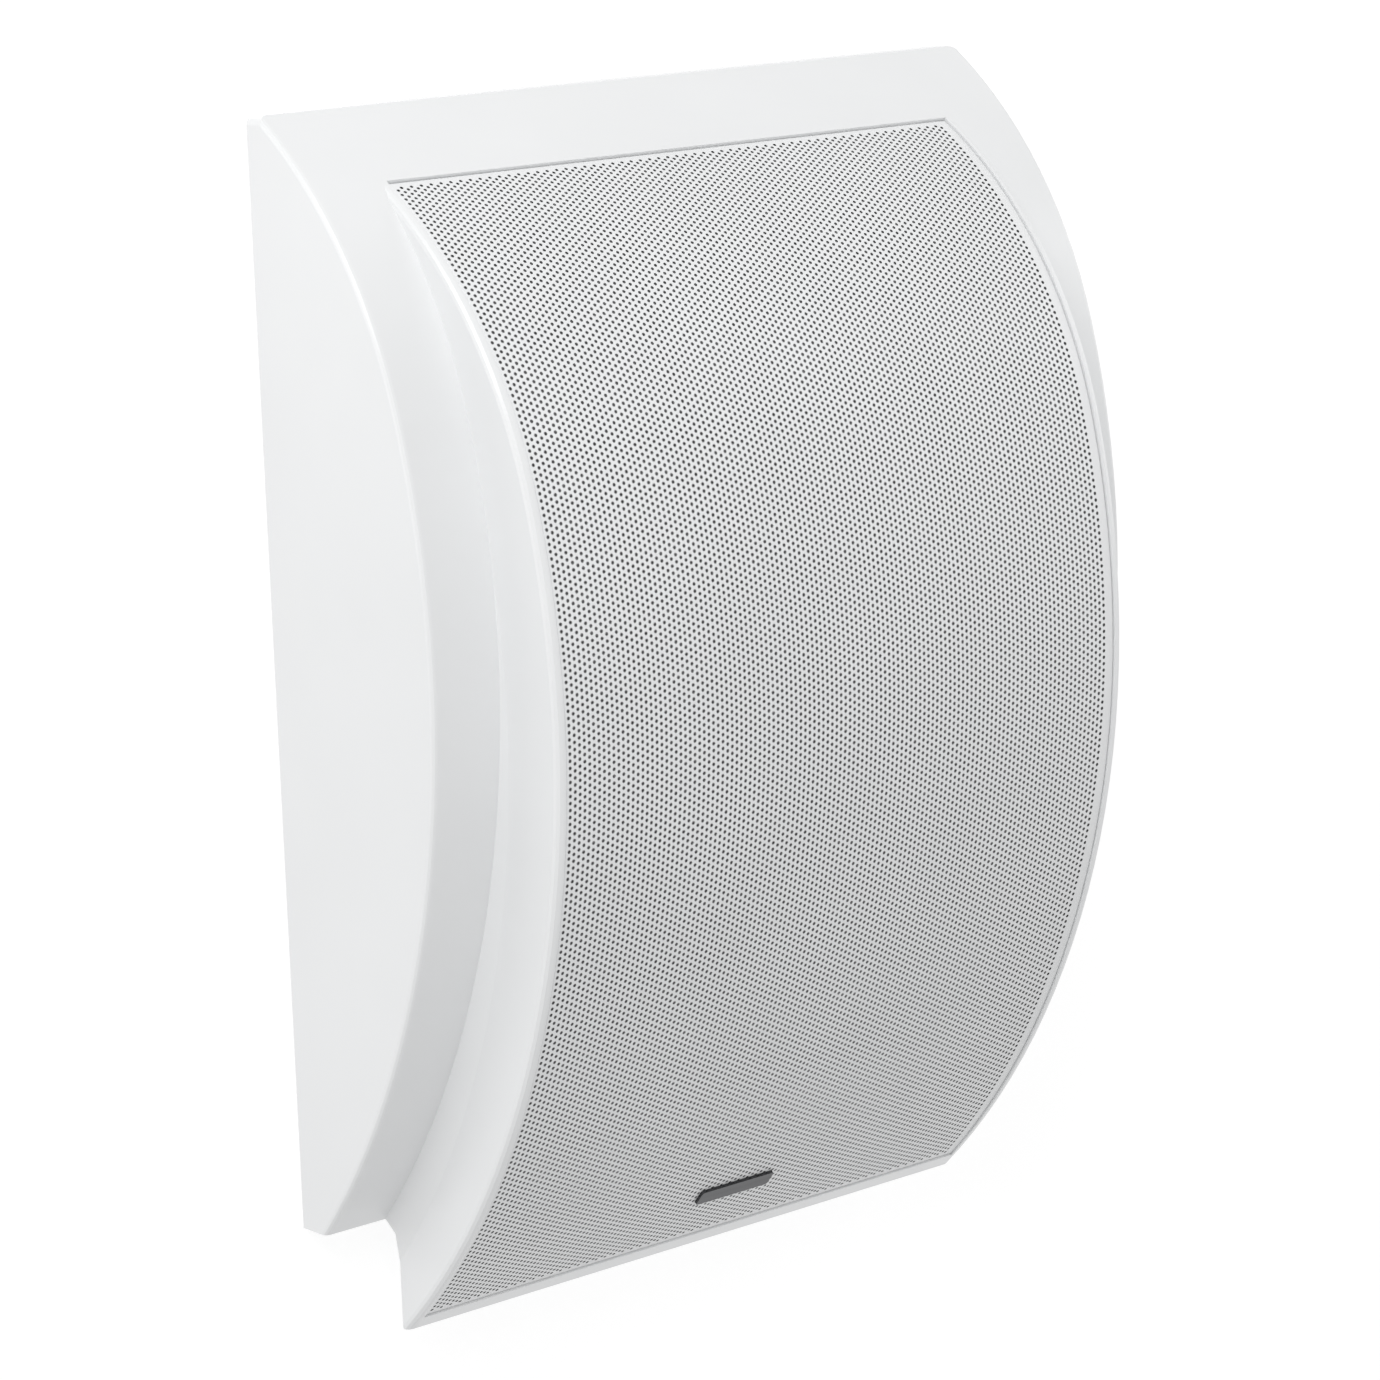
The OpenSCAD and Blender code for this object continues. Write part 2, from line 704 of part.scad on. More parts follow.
module back_panel() {
    seat_w = cup_w + 2 * cup_flange + 2 * cup_wall_gap;
    seat_low = cup_low - cup_flange - cup_wall_gap;
    seat_high = cup_high + cup_flange + cup_wall_gap;
    seat_d = cup_seat + cup_flange_t;
    hole_low = cup_low - cup_t - cup_wall_gap;
    color(dark) placed() difference() {
        union() {
            box_y(panel_w, panel_low, panel_high, 0, panel_t);
            box_y(trough_w, panel_low, hole_low, 0, trough_d);
            box_y(seat_w + 2 * cup_frame_w, seat_low - cup_frame_w, seat_high + cup_frame_w, 0, seat_d + cup_frame_t);
            at_board_holes() cylinder(d = 2.4 * screw_d, h = board_d);
        }
        box_y(channel_w, 0, cup_low, -1, channel_d);
        box_y(cup_w + 2 * cup_t + 2 * cup_wall_gap, hole_low, cup_high + cup_t + cup_wall_gap, -1, far);
        box_y(seat_w, seat_low, seat_high, -1, seat_d);
        for (s = [-1, 1], z = wall_screw_zs)
            from_wall(s * wall_screw_x / 2, z, -1) cylinder(d = wall_hole_d, h = far);
        for (s = [-1, 1], z = panel_screw_zs) from_wall(s * panel_screw_x, z, -1) {
            cylinder(r = screw_d / 2 + screw_clear, h = far, $fn = 32);
            cylinder(d = screw_head_d + 0.4, h = screw_head_t + 1.1, $fn = 32);
        }
        at_board_holes() translate([0, 0, 1]) cylinder(r = screw_d / 2 + screw_clear, h = far, $fn = 32);
        at_cup_screws() cylinder(r = screw_d / 2 + screw_clear, h = far, $fn = 32);
    }
}
module at_board_holes() {
    for (s = [-1, 1], t = [-1, 1]) from_wall(s * board_hole_x, board_z + t * board_hole_z, 0) children();
}
module at_cup_screws() {
    for (s = [-1, 1], z = cup_screw_zs) from_wall(s * cup_screw_x, z, 0) children();
}

module panel_seal() {
    color(paper) placed() difference() {
        box_y(panel_w, panel_low, panel_high, panel_t, seal_d);
        box_y(rebate_w - 2 * ledge_w, rebate_low + ledge_w, rebate_high - ledge_w, 0, far);
        box_y(trough_w + 2 * panel_gap, 0, rebate_low + ledge_w + 1, 0, far);
        for (s = [-1, 1], z = panel_screw_zs) from_wall(s * panel_screw_x, z, 0) cylinder(d = screw_d + 1, h = far, $fn = 32);
    }
}
module panel_screws() {
    color(steel) placed() for (s = [-1, 1], z = panel_screw_zs)
        from_wall(s * panel_screw_x, z, screw_head_t + 0.1) mirror([0, 0, 1]) pan_screw(boss_len - 4, screw_d / 2);
}

module woofer_basket() {
    mouth = woofer_cutout / 2 - 0.6;
    window_w = 30;
    color(dark) placed() at_baffle(woofer_z) {
        difference() {
            union() {
                ring(woofer_d / 2, roll_mid + roll_r - 1, 0, basket_t);
                rotate_extrude() polygon([
                    [mouth, eps], [mouth - basket_t, eps], [mouth - 2 * basket_t, -3], [basket_back_r - basket_t, -basket_d - eps],
                    [basket_back_r, -basket_d - eps], [mouth - basket_t, -3 - basket_t]
                ]);
            }
            around(4, woofer_screw_pcd / 2, 45) translate([0, 0, -1]) cylinder(d = screw_d + 0.8, h = 6, $fn = 32);
            around(4, 0, 45) translate([0, -window_w / 2, -basket_d + 3]) cube([far, window_w, basket_d - 9]);
        }
        ring(basket_back_r, gap_r + 3, -basket_d - basket_t, -basket_d);
        ring(spider_r + 3, spider_r - 2.5, -basket_d - eps, spider_z - spider_land / 2);
        translate([basket_back_r - 4, -9, -basket_d - basket_t]) cube([13, 18, basket_t]);
    }
}
module woofer_gasket() {
    color(dark) placed() at_baffle(woofer_z) difference() {
        ring(woofer_d / 2 - 1, woofer_cutout / 2 + 0.5, basket_t + land_t, basket_t + land_t + gasket_t);
        around(4, woofer_screw_pcd / 2, 45) translate([0, 0, -1]) cylinder(d = screw_d + 0.8, h = 9, $fn = 32);
    }
}
module woofer_surround() {
    color(paper) placed() at_baffle(woofer_z) difference() {
        rotate_extrude() union() {
            translate([roll_mid, flange_front]) difference() {
                scale([1, roll_h / roll_r]) circle(r = roll_r, $fn = 48);
                scale([1, (roll_h - surround_t) / (roll_r - surround_t)]) circle(r = roll_r - surround_t, $fn = 48);
                translate([-roll_r - 1, -2 * roll_h]) square([2 * roll_r + 2, 2 * roll_h]);
            }
            translate([roll_mid + roll_r - surround_t, flange_front]) square([woofer_d / 2 - 1 - roll_mid - roll_r + surround_t, surround_t]);
            translate([cone_r - 2.5, flange_front]) square([2.5 + surround_t, surround_t]);
        }
        around(4, woofer_screw_pcd / 2, 45) translate([0, 0, -1]) cylinder(d = screw_d + 0.8, h = 9, $fn = 32);
    }
}
module woofer_cone() {
    color(paper) placed() at_baffle(woofer_z) rotate_extrude() polygon([
        [former_out + glue_gap, cone_back], [former_out + 1.2, cone_back], [cone_r, flange_front - cone_t],
        [cone_r, flange_front], [cone_r - 2.5, flange_front], [former_out + glue_gap, cone_back + 1.6]
    ]);
}
// Domed cap that closes the cone over the voice coil
module woofer_dust_cap() {
    seat = cone_back + 1.6 + (cap_r - former_out) * (cone_depth - 1.6) / (cone_r - 2.5 - former_out) + glue_gap;
    rise = 5;
    sphere_r = (cap_r * cap_r + rise * rise) / (2 * rise);
    color(dark) placed() at_baffle(woofer_z) translate([0, 0, seat + rise - sphere_r]) difference() {
        sphere(r = sphere_r, $fn = 96);
        sphere(r = sphere_r - cone_t, $fn = 96);
        translate([-far / 2, -far / 2, -far + sphere_r - rise]) cube(far);
    }
}
module woofer_voice_coil() {
    coil_len = top_plate_t + 2 * cone_travel;
    mid = (plate_front + plate_back) / 2;
    color(copper) placed() at_baffle(woofer_z) {
        ring(former_out, former_r, mid - coil_len / 2 - 0.5, cone_back + 1.4);
        ring(winding_out, former_out - eps, mid - coil_len / 2, mid + coil_len / 2);
    }
}
// Corrugated ring between the former and the basket
module woofer_spider() {
    waves = 5;
    half_h = 1.1;
    t = 0.5;
    steps = waves * 8;
    r0 = former_out + glue_gap;
    r1 = spider_r - 3;
    top = [for (i = [0 : steps]) [r0 + (r1 - r0) * i / steps, spider_z + half_h * sin(360 * waves * i / steps) + t / 2]];
    bottom = [for (i = [steps : -1 : 0]) [r0 + (r1 - r0) * i / steps, spider_z + half_h * sin(360 * waves * i / steps) - t / 2]];
    color([0.75, 0.6, 0.3]) placed() at_baffle(woofer_z) {
        rotate_extrude() polygon(concat(top, bottom));
        ring(spider_r + 2.5, r1 - eps, spider_z - spider_land / 2, spider_z + spider_land / 2);
    }
}
module woofer_top_plate() {
    color(steel) placed() at_baffle(woofer_z) ring(magnet_r - 3, gap_r, plate_back, plate_front);
}
module woofer_magnet() {
    color(ferrite) placed() at_baffle(woofer_z) ring(magnet_r, gap_r + 8, magnet_back, plate_back);
}
module woofer_yoke() {
    color(steel) placed() at_baffle(woofer_z) difference() {
        union() {
            translate([0, 0, yoke_back]) cylinder(r = magnet_r - 3, h = yoke_t);
            translate([0, 0, yoke_back]) cylinder(r = pole_r, h = plate_front - yoke_back);
        }
        translate([0, 0, yoke_back - 1]) cylinder(r = 3.5, h = far);
    }
}
module woofer_tag_strip() {
    color([0.55, 0.4, 0.2]) placed() at_baffle(woofer_z) {
        translate([basket_back_r + 1, -8, -basket_d]) cube([7, 16, 1.6]);
        for (s = [-1, 1]) translate([basket_back_r + 7, s * 4.5 - 1.6, -basket_d + 1.6]) cube([6, 3.2, 0.6]);
    }
}
module woofer_screws() {
    color(dark) placed() at_baffle(woofer_z) around(4, woofer_screw_pcd / 2, 45)
        translate([0, 0, basket_t + land_t + gasket_t]) pan_screw(woofer_shank_len, screw_d / 2);
}

module tweeter_faceplate() {
    color(dark) placed() at_baffle(tweeter_z) difference() {
        union() {
            cylinder(d = tweeter_d, h = tweeter_face_t);
            ring(tweeter_cutout / 2 - 0.5, dome_r + 6, tweeter_seat, eps);
        }
        translate([0, 0, -2]) cylinder(r = dome_r + 2 * tweeter_roll + 0.4, h = far);
        translate([0, 0, 1]) cylinder(r1 = dome_r + 3, r2 = dome_r + 12, h = tweeter_face_t - 1 + eps);
        around(3, tweeter_screw_pcd / 2, 90) translate([0, 0, -1]) {
            cylinder(d = screw_d + 0.4, h = far, $fn = 32);
            translate([0, 0, 1 + tweeter_face_t - screw_head_t]) cylinder(d = screw_head_d + 0.4, h = 9, $fn = 32);
        }
    }
}
module tweeter_dome() {
    sphere_r = (dome_r * dome_r + dome_h * dome_h) / (2 * dome_h);
    color(paper) placed() at_baffle(tweeter_z) translate([0, 0, tweeter_seat + 0.6]) {
        translate([0, 0, dome_h - sphere_r]) difference() {
            sphere(r = sphere_r, $fn = 96);
            sphere(r = sphere_r - dome_t, $fn = 96);
            translate([-far / 2, -far / 2, -far + sphere_r - dome_h]) cube(far);
        }
    }
}
module tweeter_surround() {
    color(dark) placed() at_baffle(tweeter_z) translate([0, 0, tweeter_seat + 0.05]) rotate_extrude() union() {
        translate([dome_r + tweeter_roll + 0.05, 0.5]) difference() {
            circle(r = tweeter_roll, $fn = 32);
            circle(r = tweeter_roll - 0.3, $fn = 32);
            translate([-5, -10]) square(10);
        }
        translate([dome_r + 2 * tweeter_roll - 0.25, 0]) square([2.4, 0.5]);
    }
}
module tweeter_voice_coil() {
    color(copper) placed() at_baffle(tweeter_z) {
        ring(tweeter_former_r + tweeter_coil_t, tweeter_former_r, tweeter_plate_back - 1.4, tweeter_seat + 0.55);
        ring(tweeter_former_r + 2 * tweeter_coil_t, tweeter_former_r + tweeter_coil_t - eps,
            tweeter_plate_back - 1, tweeter_seat - 0.6);
    }
}
module tweeter_top_plate() {
    color(steel) placed() at_baffle(tweeter_z)
        ring(tweeter_magnet_r - 1, tweeter_gap_r, tweeter_plate_back, tweeter_seat);
}
module tweeter_magnet() {
    color(ferrite) placed() at_baffle(tweeter_z)
        ring(tweeter_magnet_r, tweeter_gap_r + 3, tweeter_magnet_back, tweeter_plate_back);
}
module tweeter_yoke() {
    back = tweeter_magnet_back - tweeter_yoke_t;
    color(steel) placed() at_baffle(tweeter_z) {
        translate([0, 0, back]) cylinder(r = tweeter_magnet_r - 1, h = tweeter_yoke_t);
        translate([0, 0, back]) cylinder(r = tweeter_pole_r, h = tweeter_seat - 0.5 - back);
    }
}
module tweeter_screws() {
    color(dark) placed() at_baffle(tweeter_z) around(3, tweeter_screw_pcd / 2, 90)
        translate([0, 0, tweeter_face_t - screw_head_t]) pan_screw(tweeter_face_t + baffle_t, screw_d / 2);
}

// Strip on the back of the tweeter with its two soldering tags
module tweeter_tag_strip() {
    back = tweeter_magnet_back - tweeter_yoke_t - glue_gap;
    color([0.55, 0.4, 0.2]) placed() at_baffle(tweeter_z) {
        translate([-8, -4, back - tag_strip_t]) cube([16, 8, tag_strip_t]);
        for (s = [-1, 1]) translate([s * tweeter_lead_x - 1.6, -9, back - tag_strip_t - tag_t]) cube([3.2, 10, tag_t]);
    }
}

module on_board(x, z) { from_wall(x, board_z + z, board_top) children(); }
module crossover_board() {
    color([0.1, 0.35, 0.2]) placed() difference() {
        translate([0, 0, board_z]) box_y(board_w, -board_h / 2, board_h / 2, board_d, board_top);
        at_board_holes() cylinder(r = screw_d / 2 + screw_clear, h = far, $fn = 32);
    }
}
module inductor_bobbin() {
    flange_t = 1.2;
    color(dark) placed() on_board(-18, 0) difference() {
        union() {
            cylinder(r = coil_r, h = flange_t);
            translate([0, 0, coil_h - flange_t]) cylinder(r = coil_r, h = flange_t);
            cylinder(r = coil_r / 2, h = coil_h);
        }
        translate([0, 0, -1]) cylinder(r = coil_r / 2 - 1.4, h = far);
    }
}
module inductor_winding() {
    color(copper) placed() on_board(-18, 0) ring(coil_r - 1, coil_r / 2, 1.2, coil_h - 1.2);
}
// Capacitor with a rounded rear end, lying on the board
module lying_can(x, z, d, len) {
    on_board(x, z) translate([-len / 2, 0, d / 2]) rotate([0, 90, 0]) children();
}
module capacitor_large() {
    color([0.15, 0.2, 0.45]) placed() lying_can(16, 12, capacitor_d, capacitor_len) difference() {
        cylinder(d = capacitor_d, h = capacitor_len);
        translate([0, 0, 2]) ring(capacitor_d, capacitor_d / 2 - 0.5, 0, 1.2);
    }
}
module capacitor_small() {
    small_d = capacitor_d - 3;
    color([0.7, 0.55, 0.15]) placed() lying_can(16, -1, small_d, capacitor_len - 4) cylinder(d = small_d, h = capacitor_len - 4);
}
module crossover_resistor() {
    color([0.85, 0.85, 0.82]) placed() on_board(16, -14) translate([-11, -4, 0]) cube([22, 8, 8]);
}
module board_screws() {
    color(steel) placed() at_board_holes() translate([0, 0, board_top]) pan_screw(post_h, screw_d / 2);
}

// Insulated lead through points given as x, height and depth from the wall, with round bends
module lead(points) {
    places = [for (p = points) [p[0], -p[2], p[1]]];
    for (i = [0 : len(places) - 2]) {
        way = places[i + 1] - places[i];
        translate(places[i]) rotate([0, acos(way[2] / norm(way)), atan2(way[1], way[0])])
            cylinder(r = lead_r, h = norm(way), $fn = 20);
    }
    for (i = [1 : len(places) - 2]) translate(places[i]) sphere(r = lead_bend, $fn = 20);
}
// From the lugs over the back panel to the rear of the board
module cup_leads() {
    start_d = cup_seat + cup_d + cup_t + lug_t + lead_r + glue_gap;
    low_d = panel_t + lead_r + glue_gap + 0.3;
    top = cup_high + cup_flange + 6;
    end_z = board_z - board_h / 2 + 6;
    color(dark) placed() for (x = terminal_xs)
        lead([[x, rivet_z + 3, start_d], [x, top, start_d], [x, top + 6, low_d], [x, end_z, low_d], [x, end_z, board_d - glue_gap]]);
}
// From the front of the board round the woofer's magnet to its two tags
module woofer_leads() {
    color(dark) placed() for (i = [0, 1]) {
        out = basket_back_r + lead_out + 3 * i;
        z = woofer_z + (i == 0 ? 4.5 : -4.5);
        board_end_z = board_z - 10 + 5 * i;
        over_board = board_top + lead_r + 1;
        lead([
            [basket_back_r + 11, z, woofer_tag_d], [out, z, woofer_tag_d], [out, z + 8, over_board],
            [out, board_end_z, over_board], [board_w / 2 - 6, board_end_z, over_board],
            [board_w / 2 - 6, board_end_z, board_top + glue_gap]
        ]);
    }
}
// From the front of the board straight up to the tweeter's tags
module tweeter_leads() {
    color(dark) placed() for (s = [-1, 1])
        lead([
            [s * tweeter_lead_x, tweeter_z - 5, tweeter_tag_d], [s * tweeter_lead_x, tweeter_z - 14, tweeter_tag_d],
            [board_gap_x + s * (lead_r + 0.3), tweeter_z - 14, tweeter_tag_d - 14],
            [board_gap_x + s * (lead_r + 0.3), tweeter_z - 14, board_top + glue_gap]
        ]);
}

module damping_pad(s) {
    translate([s * pad_x, 0, woofer_z + 24]) box_y(pad_w, -pad_h / 2, pad_h / 2, panel_t + glue_gap, panel_t + glue_gap + pad_t);
}
module damping_pad_left() { color([0.85, 0.85, 0.8]) placed() damping_pad(-1); }
module damping_pad_right() { color([0.85, 0.85, 0.8]) placed() damping_pad(1); }

module cup_placed() { placed() translate([0, -cup_seat, 0]) children(); }
module terminal_cup() {
    color(dark) cup_placed() difference() {
        union() {
            box_y(cup_w + 2 * cup_t, cup_low - cup_t, cup_high + cup_t, 0, cup_d + cup_t);
            box_y(cup_w + 2 * cup_flange, cup_low - cup_flange, cup_high + cup_flange, 0, cup_flange_t);
        }
        difference() {
            box_y(cup_w, cup_low, cup_high, -1, cup_d);
            terminal_ears();
            box_y(terminal_pitch + lever_w + 4, cup_low - 1, cup_low + block_h, cup_d - block_d, cup_d + 1);
            for (x = terminal_xs) translate([x, 0, 0])
                box_y(lever_w - 4, pivot_z + 1.5, pivot_z + tail_len, pivot_d + lever_t / 2 + stop_gap, cup_d + 1);
        }
        box_y(channel_w, cup_low - 2 * cup_flange, cup_low + 1, -1, channel_d - cup_seat);
        for (x = terminal_xs) {
            from_wall(x, cup_low + block_h / 2, -1) cylinder(d = wire_hole_d, h = cup_d + 1 - wire_stop);
            from_wall(x, rivet_z, cup_d - 1) cylinder(r = rivet_r + screw_clear, h = far, $fn = 32);
            translate([x, -pivot_d, pivot_z]) rotate([0, 90, 0])
                cylinder(r = pin_d / 2 + pin_clear, h = lever_w + 2 * lever_gap + 2 * ear_t + 2, center = true, $fn = 32);
        }
        at_cup_screws() translate([0, 0, -1]) cylinder(r = screw_d / 2 + screw_clear, h = far, $fn = 32);
    }
}
// Two ears beside each lever stand on the cup's floor
module terminal_ears() {
    for (x = terminal_xs, s = [-1, 1])
        translate([x + s * (lever_side + ear_t / 2), 0, 0]) box_y(ear_t, pivot_z - 3, pivot_z + 3, pivot_d - 3, cup_d + 1);
}
module cup_screws() {
    color(steel) cup_placed() at_cup_screws() mirror([0, 0, 1]) pan_screw(cup_flange_t + cup_frame_t - 0.5, screw_d / 2);
}
module terminal_lever(x) {
    translate([x, -pivot_d, pivot_z]) {
        rotate([0, 90, 0]) cylinder(d = lever_t + 1, h = lever_w, center = true, $fn = 32);
        rotate([0, 90, 0]) cylinder(d = pin_d, h = lever_w + 2 * lever_gap + 2 * ear_t, center = true, $fn = 32);
        translate([0, pivot_d, 0]) box_y(lever_w, -lever_len, tail_len, pivot_d - lever_t / 2, pivot_d + lever_t / 2);
        translate([0, pivot_d, 0]) box_y(lever_w, -lever_len, -lever_len + 3, pivot_d - lever_t / 2 - 1.4, pivot_d);
    }
}
module terminal_lever_red() { color([0.75, 0.1, 0.1]) cup_placed() terminal_lever(terminal_xs[0]); }
module terminal_lever_black() { color(dark) cup_placed() terminal_lever(terminal_xs[1]); }
// Rivet through the spring's foot and the cup's floor, with the soldering lug that it holds behind the cup
module terminal_lug(x) {
    from_wall(x, rivet_z, cup_d - spring_t - rivet_head) {
        cylinder(r = rivet_r + 0.4, h = rivet_head, $fn = 32);
        cylinder(r = rivet_r, h = rivet_head + spring_t + cup_t + lug_t + rivet_head, $fn = 32);
        translate([0, 0, rivet_head + spring_t + cup_t + lug_t]) cylinder(r = rivet_r + 0.6, h = rivet_head, $fn = 32);
    }
    translate([x, 0, rivet_z]) difference() {
        box_y(5, -2.5, lug_len - 2.5, cup_d + cup_t, cup_d + cup_t + lug_t);
        from_wall(0, lug_len - 5, 0) cylinder(r = lead_r / 2, h = far, $fn = 20);
    }
}
module terminal_lugs() { color(steel) cup_placed() for (x = terminal_xs) terminal_lug(x); }
// Bent strip between the cup's floor and the lever
module terminal_spring(x) {
    w = lever_w / 2;
    foot = 7;
    reach = cup_d - pivot_d - lever_t / 2;
    difference() {
        translate([x, 0, pivot_z - lever_len + 3]) {
            box_y(w, 0, foot, cup_d - spring_t, cup_d);
            in_section() linear_extrude(height = w, center = true) polygon([
                [cup_d - spring_t, 0], [cup_d, 0], [cup_d - reach + 0.1 + spring_t, -0.5 + foot], [cup_d - reach + 0.1, -0.5 + foot]
            ]);
        }
        from_wall(x, rivet_z, cup_d - spring_t - rivet_head) cylinder(r = rivet_r + screw_clear, h = 2 * spring_t + rivet_head, $fn = 32);
    }
}
module terminal_spring_red() { color(copper) cup_placed() terminal_spring(terminal_xs[0]); }
module terminal_spring_black() { color(copper) cup_placed() terminal_spring(terminal_xs[1]); }

front_shell();
grille();
grille_cloth();
badge();
back_panel();
panel_seal();
panel_screws();
woofer_basket();
woofer_gasket();
woofer_surround();
woofer_cone();
woofer_dust_cap();
woofer_voice_coil();
woofer_spider();
woofer_top_plate();
woofer_magnet();
woofer_yoke();
woofer_tag_strip();
woofer_screws();
tweeter_faceplate();
tweeter_dome();
tweeter_surround();
tweeter_voice_coil();
tweeter_top_plate();
tweeter_magnet();
tweeter_yoke();
tweeter_screws();
tweeter_tag_strip();
crossover_board();
inductor_bobbin();
inductor_winding();
capacitor_large();
capacitor_small();
crossover_resistor();
board_screws();
cup_leads();
woofer_leads();
tweeter_leads();
damping_pad_left();
damping_pad_right();
terminal_cup();
cup_screws();
terminal_lugs();
terminal_lever_red();
terminal_lever_black();
terminal_spring_red();
terminal_spring_black();
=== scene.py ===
import json
import math

import bpy
import numpy as np
from mathutils import Matrix, Vector


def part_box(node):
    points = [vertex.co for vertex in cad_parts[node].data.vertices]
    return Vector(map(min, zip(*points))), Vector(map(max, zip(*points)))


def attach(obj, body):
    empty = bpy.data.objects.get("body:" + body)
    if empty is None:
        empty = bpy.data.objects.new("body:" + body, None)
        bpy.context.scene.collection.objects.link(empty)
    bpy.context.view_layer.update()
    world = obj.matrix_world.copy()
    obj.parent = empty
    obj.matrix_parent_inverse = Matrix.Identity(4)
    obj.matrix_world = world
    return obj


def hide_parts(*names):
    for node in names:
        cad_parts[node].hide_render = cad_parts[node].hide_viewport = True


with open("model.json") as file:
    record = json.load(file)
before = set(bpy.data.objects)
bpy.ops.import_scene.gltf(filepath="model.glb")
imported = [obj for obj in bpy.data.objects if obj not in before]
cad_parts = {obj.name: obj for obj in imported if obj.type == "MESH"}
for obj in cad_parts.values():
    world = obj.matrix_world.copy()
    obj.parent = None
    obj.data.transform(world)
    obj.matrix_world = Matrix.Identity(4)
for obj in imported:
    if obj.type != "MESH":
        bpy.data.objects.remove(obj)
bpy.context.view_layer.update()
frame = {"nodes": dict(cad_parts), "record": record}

MM = 0.001

# Sizes of the cabinet and the grille in millimetres, as in the CAD.
# Heights count from the cabinet's lower edge, and depths from the wall or down from a face
HANG_Z = 150.0  # Height of the middle of the wall screws, where z is 0
FRAME_DEPTH = 98.0  # Depth of the frame at its apex
FRAME_APEX = 157.0  # Height of the apex
LOW_R = 264.0  # Radius of the frame's lower arc
TOP_R = 141.0  # Radius of its upper arc
JOIN_RISE = 64.0  # Height of the arcs' join above the apex
SKIRT_DROP = 34.0  # How far the skirt's tip lies below the cabinet
LIP_END = 6.4  # Width of the lip below the grille
RECESS_HIGH = 306.5  # Height of the recess's upper end
GRILLE_SINK = 0.5  # Depth of the grille's face below the frame's curve
GRILLE_GAP = 0.4  # Gap between the grille's lower end and the lip
GRILLE_TOP_GAP = 0.4  # Gap above the grille's upper end
SHEET_T = 0.8  # Thickness of the grille's sheet
RIM_BACK = 3.4  # How far back the folded rim reaches
FOLD_R = 0.35  # Radius of the rim's fold
CLOTH_GAP = 0.05  # Gap between the grille and the cloth
CLOTH_SINK = 0.1  # Depth of the cloth's sheet below the face of its solid

# Perforation, in millimetres. Each hole is a hexagon in staggered columns
HOLE_COLUMNS = 121
HOLE_REACH = 104.9  # Half the width between the outer columns
HOLE_SHIFT = -1.3  # How far the pattern's middle lies from the grille's
HOLE_R = 0.58
HOLE_CORNERS = 6
END_MARGIN = 1.0  # Least plain margin above and below the holes
FOLD_TURNS = (30, 60, 90)  # Degrees at which the fold has a row of points

# Cloth and wadding
CLOTH_CUTS = (44, 120)  # Faces across and along
PAD_CUTS = (14, 10, 40)  # Faces along X, Y and Z
PAD_SQUARENESS = 7.0  # Power of the rounded box: 2 is a ball, and more is squarer
PAD_SHRINK = 0.05  # Depth of the ripples as a share of the pad's half size
PAD_WAVES = ((9, 0, 17), (0, 7, -23))  # Radians that each ripple turns along X, Y and Z in half a pad

# Stage, in metres, and its paint and glow
STAGE_HALF = 3.0
WALL_Y = 0.0002
FLOOR_Z = -0.75
STAGE_PAINT = 0.3
STAGE_GLOW = 0.8

# Strength of the light that the world gives from straight below and straight above
SKY_BELOW = 0.82
SKY_ABOVE = 0.65

# Camera, fitted to the photograph: metres, degrees and millimetres
CAMERA_PLACE = (-0.892985, -1.075763, 0.286631)
CAMERA_AZIMUTH = -40.3434
CAMERA_ELEVATION = 12.0147
CAMERA_ROLL = -1.8887
CAMERA_LENS = 121.87
SENSOR_WIDTH = 36.0
VIEW_END = 20.0


# The front's side curve
LOW_C = (FRAME_DEPTH - LOW_R, FRAME_APEX)
JOIN = math.asin(JOIN_RISE / LOW_R)
TOP_C = (LOW_C[0] + (LOW_R - TOP_R) * math.cos(JOIN), LOW_C[1] + (LOW_R - TOP_R) * math.sin(JOIN))
TIP = math.asin((-SKIRT_DROP - FRAME_APEX) / LOW_R)
GRILLE_LOW = TIP + (LIP_END + GRILLE_GAP) / LOW_R
GRILLE_HIGH = math.asin((RECESS_HIGH - TOP_C[1]) / TOP_R) - GRILLE_TOP_GAP / TOP_R
RUN_LOW = (GRILLE_LOW - JOIN) * LOW_R
RUN_HIGH = (GRILLE_HIGH - JOIN) * TOP_R


def on_curve(x, run, inset):
    """Points in metres at x and a run along the front's curve from its join, inset below it."""
    x, run, inset = np.broadcast_arrays(*(np.asarray(v, float) for v in (x, run, inset)))
    low = run < 0
    radius = np.where(low, LOW_R, TOP_R)
    turn = JOIN + run / radius
    depth = np.where(low, LOW_C[0], TOP_C[0]) + (radius - inset) * np.cos(turn)
    height = np.where(low, LOW_C[1], TOP_C[1]) + (radius - inset) * np.sin(turn)
    return np.stack([x, -depth, height - HANG_Z], axis=-1) * MM


